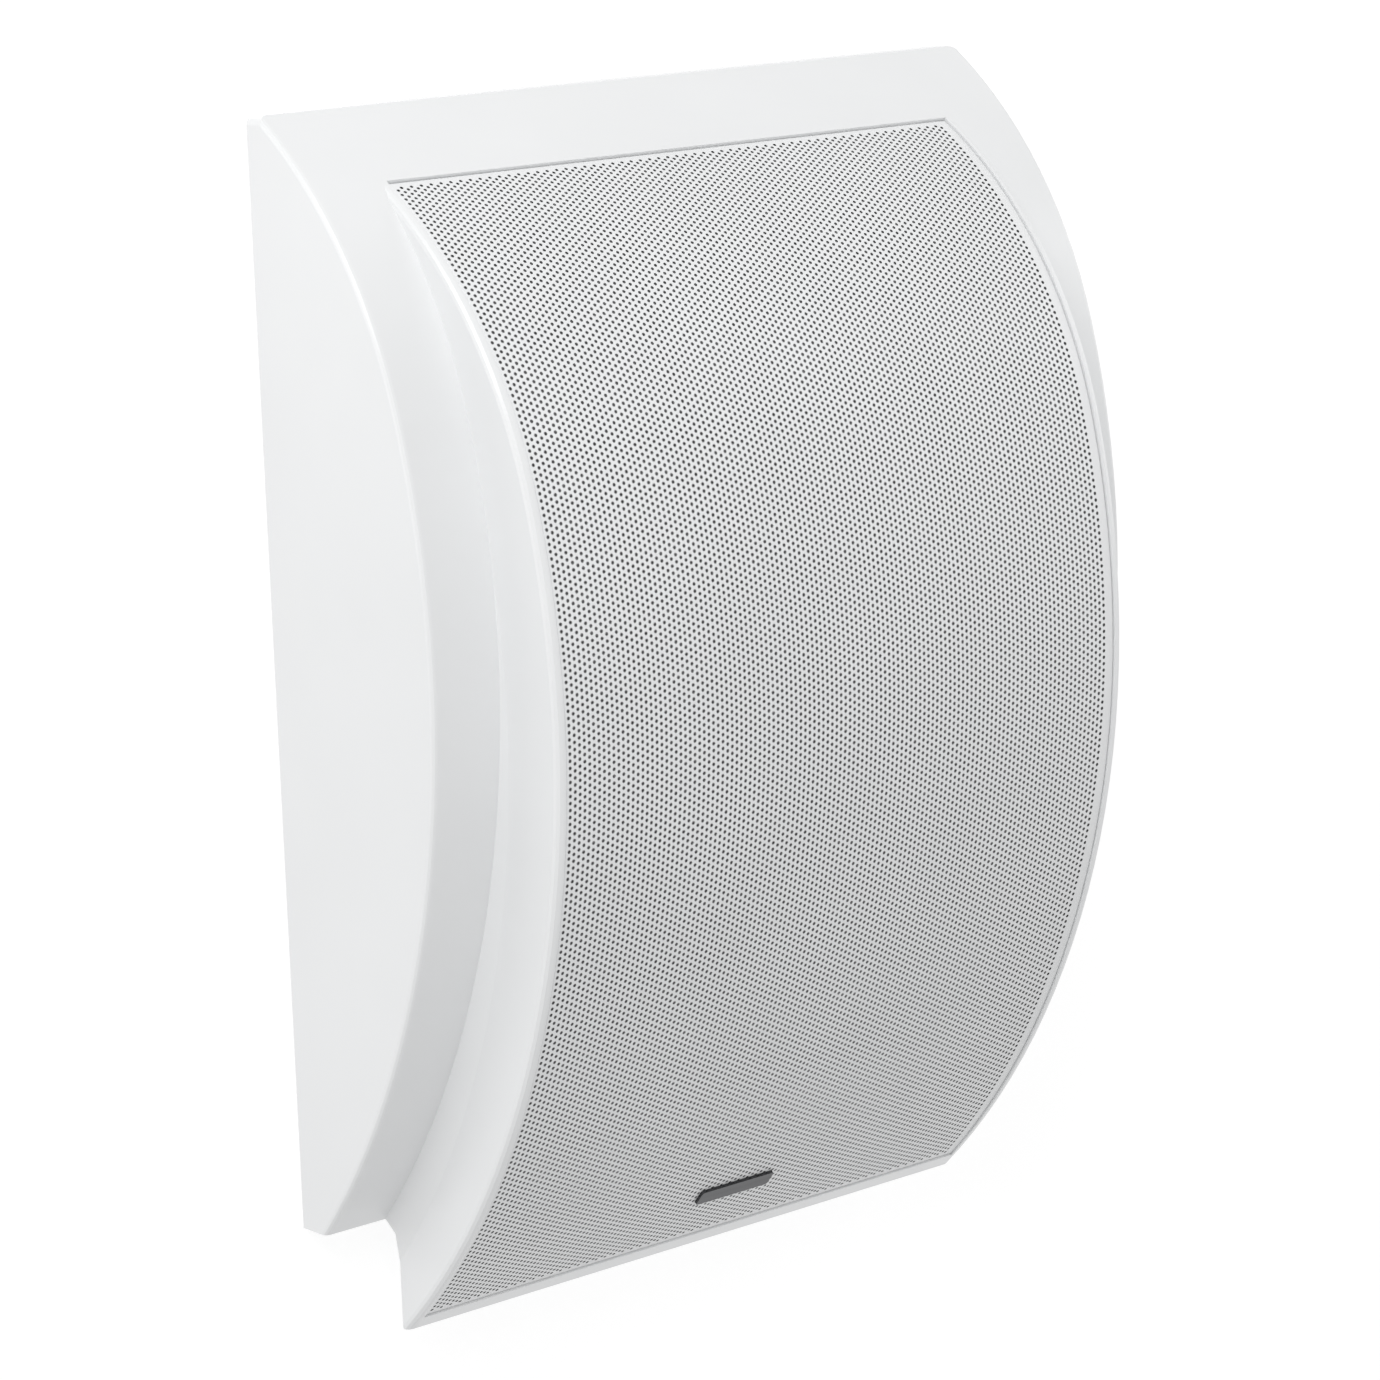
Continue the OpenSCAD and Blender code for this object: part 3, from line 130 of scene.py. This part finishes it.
def mesh_piece(name, vertices, faces, smooth=True):
    """An object from an array of points and a list of face arrays."""
    mesh = bpy.data.meshes.new(name)
    blocks = [np.atleast_2d(np.asarray(f, dtype=np.int32)) for f in faces]
    sizes = np.concatenate([np.full(len(b), b.shape[1], dtype=np.int32) for b in blocks])
    corners = np.concatenate([b.ravel() for b in blocks])
    starts = np.concatenate([[0], np.cumsum(sizes)[:-1]]).astype(np.int32)
    mesh.vertices.add(len(vertices))
    mesh.vertices.foreach_set("co", np.asarray(vertices, dtype=np.float32).ravel())
    mesh.loops.add(len(corners))
    mesh.loops.foreach_set("vertex_index", corners)
    mesh.polygons.add(len(sizes))
    mesh.polygons.foreach_set("loop_start", starts)
    mesh.polygons.foreach_set("loop_total", sizes)
    mesh.polygons.foreach_set("use_smooth", np.full(len(sizes), smooth))
    mesh.update(calc_edges=True)
    mesh.validate()
    piece = bpy.data.objects.new(name, mesh)
    bpy.context.scene.collection.objects.link(piece)
    return piece


# Materials
class Finish:
    """A material whose colour, roughness and bump come from a few textures, sized in millimetres."""

    def __init__(self, name):
        self.material = bpy.data.materials.new(name)
        self.material.use_nodes = True
        self.tree = self.material.node_tree
        self.shader = next(n for n in self.tree.nodes if n.type == "BSDF_PRINCIPLED")
        self.place = self.tree.nodes.new("ShaderNodeTexCoord").outputs["Object"]

    def add(self, kind, **inputs):
        node = self.tree.nodes.new(kind)
        for key, value in inputs.items():
            self.feed(node.inputs[key.replace("_", " ")], value)
        return node

    def feed(self, socket, value):
        if isinstance(value, bpy.types.NodeSocket):
            self.tree.links.new(value, socket)
        else:
            socket.default_value = value

    def noise(self, size_mm, detail, stretch=(1, 1, 1), distortion=0.0):
        place = self.add("ShaderNodeMapping", Vector=self.place, Scale=stretch).outputs["Vector"]
        scale = 1 / (size_mm * MM)
        node = self.add("ShaderNodeTexNoise", Vector=place, Scale=scale, Detail=detail, Distortion=distortion)
        return node.outputs["Fac"]

    def cells(self, size_mm):
        node = self.add("ShaderNodeTexVoronoi", Vector=self.place, Scale=1 / (size_mm * MM))
        return node.outputs["Distance"]

    def bands(self, pitch_mm, axis, distortion=0.0):
        # At a scale of 1, a wave texture's bands lie pi / 10 apart
        scale = math.pi / 10 / (pitch_mm * MM)
        node = self.add("ShaderNodeTexWave", Vector=self.place, Scale=scale, Distortion=distortion)
        node.bands_direction = axis
        return node.outputs["Fac"]

    def product(self, a, b):
        node = self.add("ShaderNodeMath")
        node.operation = "MULTIPLY"
        self.feed(node.inputs[0], a)
        self.feed(node.inputs[1], b)
        return node.outputs[0]

    def ramp(self, fac, low, high, start=0.3, stop=0.7):
        span = dict(From_Min=start, From_Max=stop, To_Min=low, To_Max=high)
        return self.add("ShaderNodeMapRange", Value=fac, **span).outputs["Result"]

    def colour(self, fac, dark, light, start=0.3, stop=0.7):
        # A colour mix has its colours on inputs 6 and 7, and gives the result on output 2
        node = self.add("ShaderNodeMix")
        node.data_type = "RGBA"
        self.feed(node.inputs[0], self.ramp(fac, 0.0, 1.0, start, stop))
        self.feed(node.inputs[6], (*dark, 1))
        self.feed(node.inputs[7], (*light, 1))
        self.feed(self.shader.inputs["Base Color"], node.outputs[2])

    def rough(self, fac, low, high):
        self.feed(self.shader.inputs["Roughness"], self.ramp(fac, low, high))

    def bump(self, height, depth_mm):
        node = self.add("ShaderNodeBump", Height=height, Distance=depth_mm * MM)
        self.feed(self.shader.inputs["Normal"], node.outputs["Normal"])

    def set(self, **values):
        for key, value in values.items():
            self.shader.inputs[key.replace("_", " ")].default_value = value
        return self.material


def shade(rgb, k):
    return tuple(min(1.0, c * k) for c in rgb)


def moulded(name, rgb, rough, grain, vary):
    """Moulded plastic: faint flow marks in colour, and a fine grain of a size and depth in mm."""
    f = Finish(name)
    f.colour(f.noise(60, 2), shade(rgb, 1 - vary), shade(rgb, 1 + vary))
    f.rough(f.noise(9, 4), *rough)
    f.bump(f.noise(grain[0], 2), grain[1])
    return f.material


def metal(name, rgb, rough, stretch=(1, 1, 1), grain=(0.6, 0.01)):
    """Rolled or plated metal: uneven sheen and drawn grain of a size and depth in mm."""
    f = Finish(name)
    f.colour(f.noise(5, 4, stretch), shade(rgb, 0.9), shade(rgb, 1.06))
    f.rough(f.noise(2.5, 4, stretch), *rough)
    f.bump(f.noise(grain[0], 3, stretch), grain[1])
    return f.set(Metallic=1.0)


def woven(name, rgb, pitch_mm, depth_mm, roughness=0.9, sheen=0.3):
    """Cloth: two crossed sets of threads, each over the other in turn."""
    f = Finish(name)
    weave = f.product(f.bands(pitch_mm, "X"), f.bands(pitch_mm, "Z"))
    f.colour(weave, shade(rgb, 0.65), shade(rgb, 1.35), 0.1, 0.7)
    f.rough(f.noise(4, 3), roughness - 0.06, roughness)
    f.bump(weave, depth_mm)
    return f.set(Sheen_Weight=sheen)


def fibrous(name, rgb, size_mm, depth_mm, vary, roughness=0.95):
    """Pressed paper or wadding: tangled fibres."""
    f = Finish(name)
    tangle = f.noise(size_mm, 8, distortion=2.5)
    f.colour(tangle, shade(rgb, 1 - vary), shade(rgb, 1 + vary))
    f.rough(f.noise(size_mm * 3, 3), roughness - 0.08, roughness)
    f.bump(tangle, depth_mm)
    return f.material


def grained(name, rgb, size_mm, depth_mm, vary=0.15, rough=(0.6, 0.8)):
    """Sintered, cast or cellular stuff: close cells."""
    f = Finish(name)
    cell = f.cells(size_mm)
    f.colour(cell, shade(rgb, 1 - vary), shade(rgb, 1 + vary), 0.0, 0.8)
    f.rough(f.noise(size_mm * 4, 3), *rough)
    f.bump(cell, depth_mm)
    return f.material


def wound(name, rgb, pitch_mm, axis):
    """Enamelled wire laid in close turns."""
    f = Finish(name)
    turns = f.bands(pitch_mm, axis, 0.4)
    f.colour(turns, shade(rgb, 0.45), rgb, 0.0, 0.6)
    f.rough(f.noise(3, 3), 0.22, 0.34)
    f.bump(turns, 0.08)
    return f.set(Metallic=0.8)


# One finish for each of the record's material slots
FINISHES = {
    "shell_white": (moulded, dict(
        rgb=(0.86, 0.868, 0.874), rough=(0.2, 0.27), grain=(0.8, 0.004), vary=0.012)),
    "grille_paint": (moulded, dict(
        rgb=(0.86, 0.868, 0.874), rough=(0.42, 0.5), grain=(0.25, 0.006), vary=0.015)),
    "acoustic_cloth": (woven, dict(
        rgb=(0.37, 0.37, 0.375), pitch_mm=0.9, depth_mm=0.12)),
    "badge_silver": (metal, dict(
        rgb=(0.075, 0.076, 0.08), rough=(0.26, 0.38), stretch=(0.06, 1, 1), grain=(0.3, 0.006))),
    "panel_white": (moulded, dict(
        rgb=(0.80, 0.81, 0.815), rough=(0.48, 0.58), grain=(0.45, 0.03), vary=0.015)),
    "seal_foam": (grained, dict(
        rgb=(0.045, 0.045, 0.047), size_mm=0.7, depth_mm=0.12, vary=0.4, rough=(0.85, 0.95))),
    "zinc_steel": (metal, dict(
        rgb=(0.62, 0.63, 0.64), rough=(0.22, 0.4))),
    "basket_black": (moulded, dict(
        rgb=(0.03, 0.03, 0.032), rough=(0.38, 0.5), grain=(0.35, 0.02), vary=0.1)),
    "gasket_black": (grained, dict(
        rgb=(0.03, 0.03, 0.03), size_mm=0.6, depth_mm=0.06, vary=0.3, rough=(0.8, 0.92))),
    "surround_rubber": (moulded, dict(
        rgb=(0.022, 0.022, 0.024), rough=(0.5, 0.62), grain=(0.3, 0.012), vary=0.08)),
    "cone_paper": (fibrous, dict(
        rgb=(0.05, 0.05, 0.053), size_mm=1.4, depth_mm=0.08, vary=0.3, roughness=0.85)),
    "coil_copper": (wound, dict(
        rgb=(0.72, 0.36, 0.16), pitch_mm=0.5, axis="Y")),
    "spider_cloth": (woven, dict(
        rgb=(0.45, 0.30, 0.12), pitch_mm=0.8, depth_mm=0.08)),
    "ferrite": (grained, dict(
        rgb=(0.075, 0.075, 0.08), size_mm=0.5, depth_mm=0.05)),
    "fibre_board": (fibrous, dict(
        rgb=(0.30, 0.19, 0.09), size_mm=0.7, depth_mm=0.03, vary=0.2, roughness=0.7)),
    "faceplate_black": (moulded, dict(
        rgb=(0.035, 0.035, 0.037), rough=(0.45, 0.55), grain=(0.4, 0.03), vary=0.1)),
    "dome_silk": (woven, dict(
        rgb=(0.06, 0.06, 0.065), pitch_mm=0.35, depth_mm=0.03, roughness=0.6, sheen=0.5)),
    "board_green": (moulded, dict(
        rgb=(0.03, 0.13, 0.05), rough=(0.3, 0.42), grain=(1.2, 0.02), vary=0.12)),
    "bobbin_black": (moulded, dict(
        rgb=(0.03, 0.03, 0.03), rough=(0.42, 0.52), grain=(0.4, 0.02), vary=0.1)),
    "lead_cover": (moulded, dict(
        rgb=(0.035, 0.035, 0.037), rough=(0.4, 0.5), grain=(0.9, 0.02), vary=0.1)),
    "can_blue": (moulded, dict(
        rgb=(0.05, 0.11, 0.30), rough=(0.22, 0.3), grain=(1.5, 0.01), vary=0.06)),
    "can_yellow": (moulded, dict(
        rgb=(0.72, 0.45, 0.05), rough=(0.28, 0.36), grain=(1.5, 0.012), vary=0.05)),
    "resistor_white": (grained, dict(
        rgb=(0.66, 0.64, 0.60), size_mm=0.5, depth_mm=0.04, vary=0.06)),
    "wadding": (fibrous, dict(
        rgb=(0.72, 0.72, 0.68), size_mm=2.2, depth_mm=1.0, vary=0.12)),
    "cup_black": (moulded, dict(
        rgb=(0.03, 0.03, 0.032), rough=(0.42, 0.54), grain=(0.4, 0.03), vary=0.1)),
    "lever_red": (moulded, dict(
        rgb=(0.50, 0.015, 0.012), rough=(0.28, 0.36), grain=(0.6, 0.01), vary=0.05)),
    "lever_black": (moulded, dict(
        rgb=(0.022, 0.022, 0.024), rough=(0.28, 0.36), grain=(0.6, 0.01), vary=0.08)),
    "spring_steel": (metal, dict(
        rgb=(0.55, 0.56, 0.58), rough=(0.18, 0.3), stretch=(1, 1, 0.2))),
}
materials = {slot: make(slot, **look) for slot, (make, look) in FINISHES.items()}
slot_of = {part["node"]: part["material_slot"] for part in frame["record"]["subparts"]}


def dress(piece, slot):
    piece.data.materials.clear()
    piece.data.materials.append(materials[slot])


for node, piece in frame["nodes"].items():
    for material_slot in piece.material_slots:
        material_slot.material = materials[slot_of[node]]


# Grille: one perforated sheet with a folded rim
class HoleGrid:
    """Hexagonal holes in staggered columns, and the sheet between them and its edge.

    It is laid out flat, in millimetres, as x and the run along the front's curve.
    """

    def __init__(self, half_w, bottom, top):
        step_x = 2 * HOLE_REACH / (HOLE_COLUMNS - 1)
        pitch = step_x / math.cos(math.pi / 6)
        self.rows = int((top - bottom - 2 * END_MARGIN - 2 * HOLE_R - pitch / 2) / pitch) + 1
        self.last_row = self.rows - 1
        self.last_column = HOLE_COLUMNS - 1
        self.column, self.row = np.meshgrid(np.arange(HOLE_COLUMNS), np.arange(self.rows), indexing="ij")
        # Every second column lies half a pitch higher
        first = (top + bottom) / 2 - (self.rows - 0.5) * pitch / 2
        x = self.column * step_x - HOLE_REACH + HOLE_SHIFT
        run = first + pitch * (self.row + self.column % 2 / 2)
        centre = np.stack([x, run], axis=-1)
        around = np.arange(HOLE_CORNERS) * 2 * math.pi / HOLE_CORNERS
        ring = HOLE_R * np.stack([np.cos(around), np.sin(around)], axis=-1)
        holes = (centre[:, :, None, :] + ring).reshape(-1, 2)

        # Points on the sheet's edge: one for each column below and above, and one for each row at either side
        self.below = len(holes) + np.arange(HOLE_COLUMNS)
        self.above = self.below + HOLE_COLUMNS
        self.left = self.above[-1] + 1 + np.arange(self.rows)
        self.right = self.left + self.rows
        self.ends = self.right[-1] + 1 + np.arange(4)
        self.points = np.concatenate([
            holes,
            np.stack([x[:, 0], np.full(HOLE_COLUMNS, bottom)], axis=-1),
            np.stack([x[:, 0], np.full(HOLE_COLUMNS, top)], axis=-1),
            np.stack([np.full(self.rows, -half_w), run[0]], axis=-1),
            np.stack([np.full(self.rows, half_w), run[-1]], axis=-1),
            [[-half_w, bottom], [half_w, bottom], [half_w, top], [-half_w, top]],
        ])

    def corner(self, column, row, k):
        """Number of a hole's corner k, counted from its +X corner towards higher runs."""
        return (column * self.rows + row) * HOLE_CORNERS + k

    def bridges(self):
        """Faces between holes: one across each bridge, and a triangle wherever three bridges meet."""
        here, beside = self.column, self.column + 1
        row, above = self.row, self.row + 1
        up = row + here % 2
        down = up - 1
        not_last = here < self.last_column
        not_top = row < self.last_row
        has_up = not_last & (up < self.rows)
        has_down = not_last & (down >= 0)

        def faces(where, *corners):
            return np.stack([self.corner(*corner)[where] for corner in corners], axis=-1)

        return [
            faces(not_top, (here, row, 2), (here, row, 1), (here, above, 5), (here, above, 4)),
            faces(has_up, (here, row, 1), (here, row, 0), (beside, up, 4), (beside, up, 3)),
            faces(has_down, (here, row, 0), (here, row, 5), (beside, down, 3), (beside, down, 2)),
            faces(not_last & not_top, (here, row, 1), (beside, up, 3), (here, above, 5)),
            faces(has_up & has_down, (here, row, 0), (beside, down, 2), (beside, up, 4)),
        ]

    def margins(self):
        """Faces between the outer holes and the sheet's edge."""
        corner, below, above, left, right, ends = (
            self.corner, self.below, self.above, self.left, self.right, self.ends)
        last, top = self.last_column, self.last_row
        faces = []
        for i in range(HOLE_COLUMNS):
            faces.append([corner(i, top, 2), corner(i, top, 1), above[i]])
            faces.append([below[i], corner(i, 0, 5), corner(i, 0, 4)])
        for i in range(last):
            j = i + 1
            # The higher of two columns shows one more corner above, and the lower one below
            if i % 2:
                high, low = corner(i, top, 0), corner(j, 0, 3)
            else:
                high, low = corner(j, top, 3), corner(i, 0, 0)
            faces.append([corner(i, top, 1), high, corner(j, top, 2), above[j], above[i]])
            faces.append([below[i], below[j], corner(j, 0, 4), low, corner(i, 0, 5)])
        for r in range(top):
            s = r + 1
            faces.append([
                left[r], corner(0, r, 3), corner(0, r, 2),
                corner(0, s, 4), corner(0, s, 3), left[s],
            ])
            faces.append([
                corner(last, r, 0), right[r], right[s],
                corner(last, s, 0), corner(last, s, 5), corner(last, r, 1),
            ])
        faces.append([ends[0], below[0], corner(0, 0, 4), corner(0, 0, 3), left[0]])
        faces.append([below[last], ends[1], right[0], corner(last, 0, 0), corner(last, 0, 5)])
        faces.append([right[top], ends[2], above[last], corner(last, top, 1), corner(last, top, 0)])
        faces.append([left[top], corner(0, top, 3), corner(0, top, 2), above[0], ends[3]])
        return faces

    def outline(self):
        """Numbers of the edge's points in turn, and the way outwards at each."""
        sides = (
            (self.ends[0], (-1, -1), self.below, (0, -1)),
            (self.ends[1], (1, -1), self.right, (1, 0)),
            (self.ends[2], (1, 1), self.above[::-1], (0, 1)),
            (self.ends[3], (-1, 1), self.left[::-1], (-1, 0)),
        )
        loop = []
        outward = []
        for end, end_way, side, side_way in sides:
            loop += [end, *side]
            outward += [end_way] + [side_way] * len(side)
        return np.array(loop), np.array(outward)


def perforated_sheet():
    low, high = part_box("grille")
    half_w = (high[0] - low[0]) / 2 / MM - FOLD_R
    grid = HoleGrid(half_w, RUN_LOW + FOLD_R, RUN_HIGH - FOLD_R)
    points = [on_curve(grid.points[:, 0], grid.points[:, 1], GRILLE_SINK)]
    faces = grid.bridges() + grid.margins()

    # The rim: the outline goes round a small fold, and then straight back
    steps = [
        (math.sin(math.radians(turn)), FOLD_R * (1 - math.cos(math.radians(turn)))) for turn in FOLD_TURNS
    ] + [(1.0, RIM_BACK)]
    loop, outward = grid.outline()
    inner = loop
    start = len(grid.points)
    for reach, back in steps:
        edge = grid.points[loop] + outward * FOLD_R * reach
        points.append(on_curve(edge[:, 0], edge[:, 1], GRILLE_SINK + back))
        outer = start + np.arange(len(loop))
        faces.append(np.stack([inner, outer, np.roll(outer, -1), np.roll(inner, -1)], axis=-1))
        inner = outer
        start += len(loop)
    return mesh_piece("perforated_grille", np.concatenate(points), faces)


grille = perforated_sheet()
dress(grille, "grille_paint")
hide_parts("grille")
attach(grille, "cabinet")


# Cloth stretched behind the grille
def cloth_sheet():
    """The cloth, and its flat width and length."""
    low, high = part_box("grille_cloth")
    half_w = (high[0] - low[0]) / 2 / MM
    skip = SHEET_T + CLOTH_GAP
    across, along = CLOTH_CUTS
    xs = np.linspace(-half_w, half_w, across + 1)
    runs = np.linspace(RUN_LOW + skip, RUN_HIGH - skip, along + 1)
    x, run = np.meshgrid(xs, runs, indexing="ij")
    points = on_curve(x, run, GRILLE_SINK + skip + CLOTH_SINK).reshape(-1, 3)
    i, j = np.meshgrid(np.arange(across), np.arange(along), indexing="ij")
    corner = (i * len(runs) + j).ravel()
    face = np.stack([corner, corner + len(runs), corner + len(runs) + 1, corner + 1], axis=-1)
    piece = mesh_piece("stretched_cloth", points, [face])
    return piece, (2 * half_w * MM, (runs[-1] - runs[0]) * MM)


cloth, cloth_size = cloth_sheet()
dress(cloth, "acoustic_cloth")
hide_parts("grille_cloth")
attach(cloth, "cabinet")


# Damping pads: soft blocks of wadding
def box_grid(cuts):
    """Points of a cut-up box from 0 to its cuts, and the quads on its six sides."""
    points = {}
    faces = []
    for axis in range(3):
        u, w = (axis + 1) % 3, (axis + 2) % 3
        for side in (0, cuts[axis]):
            for a in range(cuts[u]):
                for b in range(cuts[w]):
                    quad = []
                    for da, db in ((0, 0), (1, 0), (1, 1), (0, 1)):
                        place = [0, 0, 0]
                        place[axis], place[u], place[w] = side, a + da, b + db
                        quad.append(points.setdefault(tuple(place), len(points)))
                    faces.append(quad if side else quad[::-1])
    return np.array(list(points)), np.array(faces)


def wadding_pad(node):
    low, high = np.array(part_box(node))
    points, faces = box_grid(PAD_CUTS)
    grid = points / np.array(PAD_CUTS) * 2 - 1
    # Soft edges: a cube's point pulled towards the rounded box that has the same faces
    norm = (np.abs(grid) ** PAD_SQUARENESS).sum(axis=1) ** (1 / PAD_SQUARENESS)
    soft = grid / norm[:, None] * np.abs(grid).max(axis=1)[:, None]
    # The ripple is the mean of two waves, from 0 to 1
    ripple = 0.5 + 0.5 * np.mean([np.sin(soft @ np.array(wave)) for wave in PAD_WAVES], axis=0)
    size = (high - low) / 2 * (1 - PAD_SHRINK * ripple)[:, None]
    piece = mesh_piece(node.replace("damping_", "wadding_"), (low + high) / 2 + soft * size, [faces])
    dress(piece, "wadding")
    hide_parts(node)
    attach(piece, "cabinet")


for pad in ("damping_pad_left", "damping_pad_right"):
    wadding_pad(pad)


# Stage: wall and floor that only the camera sees, from their front sides
def stage_plane(name, corners, material):
    piece = mesh_piece(name, corners, [[[0, 1, 2, 3]]], smooth=False)
    piece.data.materials.append(material)


def stage_material():
    material = bpy.data.materials.new("pale_stage")
    material.use_nodes = True
    tree = material.node_tree
    tree.nodes.clear()
    output = tree.nodes.new("ShaderNodeOutputMaterial")
    mix = tree.nodes.new("ShaderNodeMixShader")
    clear = tree.nodes.new("ShaderNodeBsdfTransparent")
    both = tree.nodes.new("ShaderNodeAddShader")
    paint = tree.nodes.new("ShaderNodeBsdfDiffuse")
    paint.inputs["Color"].default_value = (STAGE_PAINT, STAGE_PAINT, STAGE_PAINT, 1)
    glow = tree.nodes.new("ShaderNodeEmission")
    glow.inputs["Strength"].default_value = STAGE_GLOW
    path = tree.nodes.new("ShaderNodeLightPath")
    side = tree.nodes.new("ShaderNodeNewGeometry")
    front = tree.nodes.new("ShaderNodeMath")
    front.operation = "SUBTRACT"
    front.use_clamp = True
    tree.links.new(path.outputs["Is Camera Ray"], front.inputs[0])
    tree.links.new(side.outputs["Backfacing"], front.inputs[1])
    tree.links.new(front.outputs[0], mix.inputs[0])
    tree.links.new(clear.outputs[0], mix.inputs[1])
    tree.links.new(paint.outputs[0], both.inputs[0])
    tree.links.new(glow.outputs[0], both.inputs[1])
    tree.links.new(both.outputs[0], mix.inputs[2])
    tree.links.new(mix.outputs[0], output.inputs["Surface"])
    return material


pale = stage_material()
stage_plane("wall", [
    (-STAGE_HALF, WALL_Y, FLOOR_Z), (STAGE_HALF, WALL_Y, FLOOR_Z),
    (STAGE_HALF, WALL_Y, STAGE_HALF), (-STAGE_HALF, WALL_Y, STAGE_HALF),
], pale)
stage_plane("floor", [
    (-STAGE_HALF, -STAGE_HALF, FLOOR_Z), (STAGE_HALF, -STAGE_HALF, FLOOR_Z),
    (STAGE_HALF, STAGE_HALF, FLOOR_Z), (-STAGE_HALF, STAGE_HALF, FLOOR_Z),
], pale)


# Light
def lamp(name, azimuth, elevation, distance, size, level):
    """A soft square lamp aimed at the object, its level being what a white surface facing it gets."""
    data = bpy.data.lights.new(name, "AREA")
    data.size = size
    data.energy = level * (math.pi * distance) ** 2
    piece = bpy.data.objects.new(name, data)
    az, el = math.radians(azimuth), math.radians(elevation)
    away = Vector((math.sin(az) * math.cos(el), -math.cos(az) * math.cos(el), math.sin(el)))
    piece.location = away * distance
    piece.rotation_euler = away.to_track_quat("Z", "Y").to_euler()
    bpy.context.scene.collection.objects.link(piece)


lamp("key", azimuth=-54, elevation=45, distance=2.2, size=1.3, level=0.48)
lamp("rim_left", azimuth=-125, elevation=10, distance=2.2, size=1.3, level=0.14)
lamp("fill_right", azimuth=70, elevation=15, distance=2.4, size=1.6, level=0.16)
lamp("fill_back", azimuth=165, elevation=25, distance=2.4, size=1.6, level=0.3)


def sky():
    world = bpy.data.worlds.new("studio")
    bpy.context.scene.world = world
    world.use_nodes = True
    tree = world.node_tree
    tree.nodes.clear()
    output = tree.nodes.new("ShaderNodeOutputWorld")
    mix = tree.nodes.new("ShaderNodeMixShader")
    lit = tree.nodes.new("ShaderNodeBackground")
    white = tree.nodes.new("ShaderNodeBackground")
    white.inputs["Color"].default_value = (1, 1, 1, 1)
    path = tree.nodes.new("ShaderNodeLightPath")
    # The camera sees white, also in mirrored and through clear surfaces
    total = path.outputs["Is Camera Ray"]
    for ray in ("Is Glossy Ray", "Is Transmission Ray"):
        either = tree.nodes.new("ShaderNodeMath")
        either.operation = "MAXIMUM"
        tree.links.new(total, either.inputs[0])
        tree.links.new(path.outputs[ray], either.inputs[1])
        total = either.outputs[0]
    # A little more light comes from below, as over a pale floor
    place = tree.nodes.new("ShaderNodeTexCoord")
    split = tree.nodes.new("ShaderNodeSeparateXYZ")
    level = tree.nodes.new("ShaderNodeMapRange")
    level.inputs["From Min"].default_value = -1
    level.inputs["To Min"].default_value = SKY_BELOW
    level.inputs["To Max"].default_value = SKY_ABOVE
    tree.links.new(place.outputs["Generated"], split.inputs[0])
    tree.links.new(split.outputs["Z"], level.inputs["Value"])
    tree.links.new(level.outputs["Result"], lit.inputs["Strength"])
    tree.links.new(total, mix.inputs[0])
    tree.links.new(lit.outputs[0], mix.inputs[1])
    tree.links.new(white.outputs[0], mix.inputs[2])
    tree.links.new(mix.outputs[0], output.inputs["Surface"])


sky()
bpy.context.scene.view_settings.view_transform = "Standard"


# Camera
camera = bpy.data.objects.new("camera", bpy.data.cameras.new("camera"))
camera.data.lens = CAMERA_LENS
camera.data.sensor_width = SENSOR_WIDTH
camera.data.clip_end = VIEW_END
camera.matrix_world = (
    Matrix.Translation(CAMERA_PLACE)
    @ Matrix.Rotation(math.radians(CAMERA_AZIMUTH), 4, "Z")
    @ Matrix.Rotation(math.radians(90 - CAMERA_ELEVATION), 4, "X")
    @ Matrix.Rotation(math.radians(CAMERA_ROLL), 4, "Z")
)
bpy.context.scene.collection.objects.link(camera)
bpy.context.scene.camera = camera
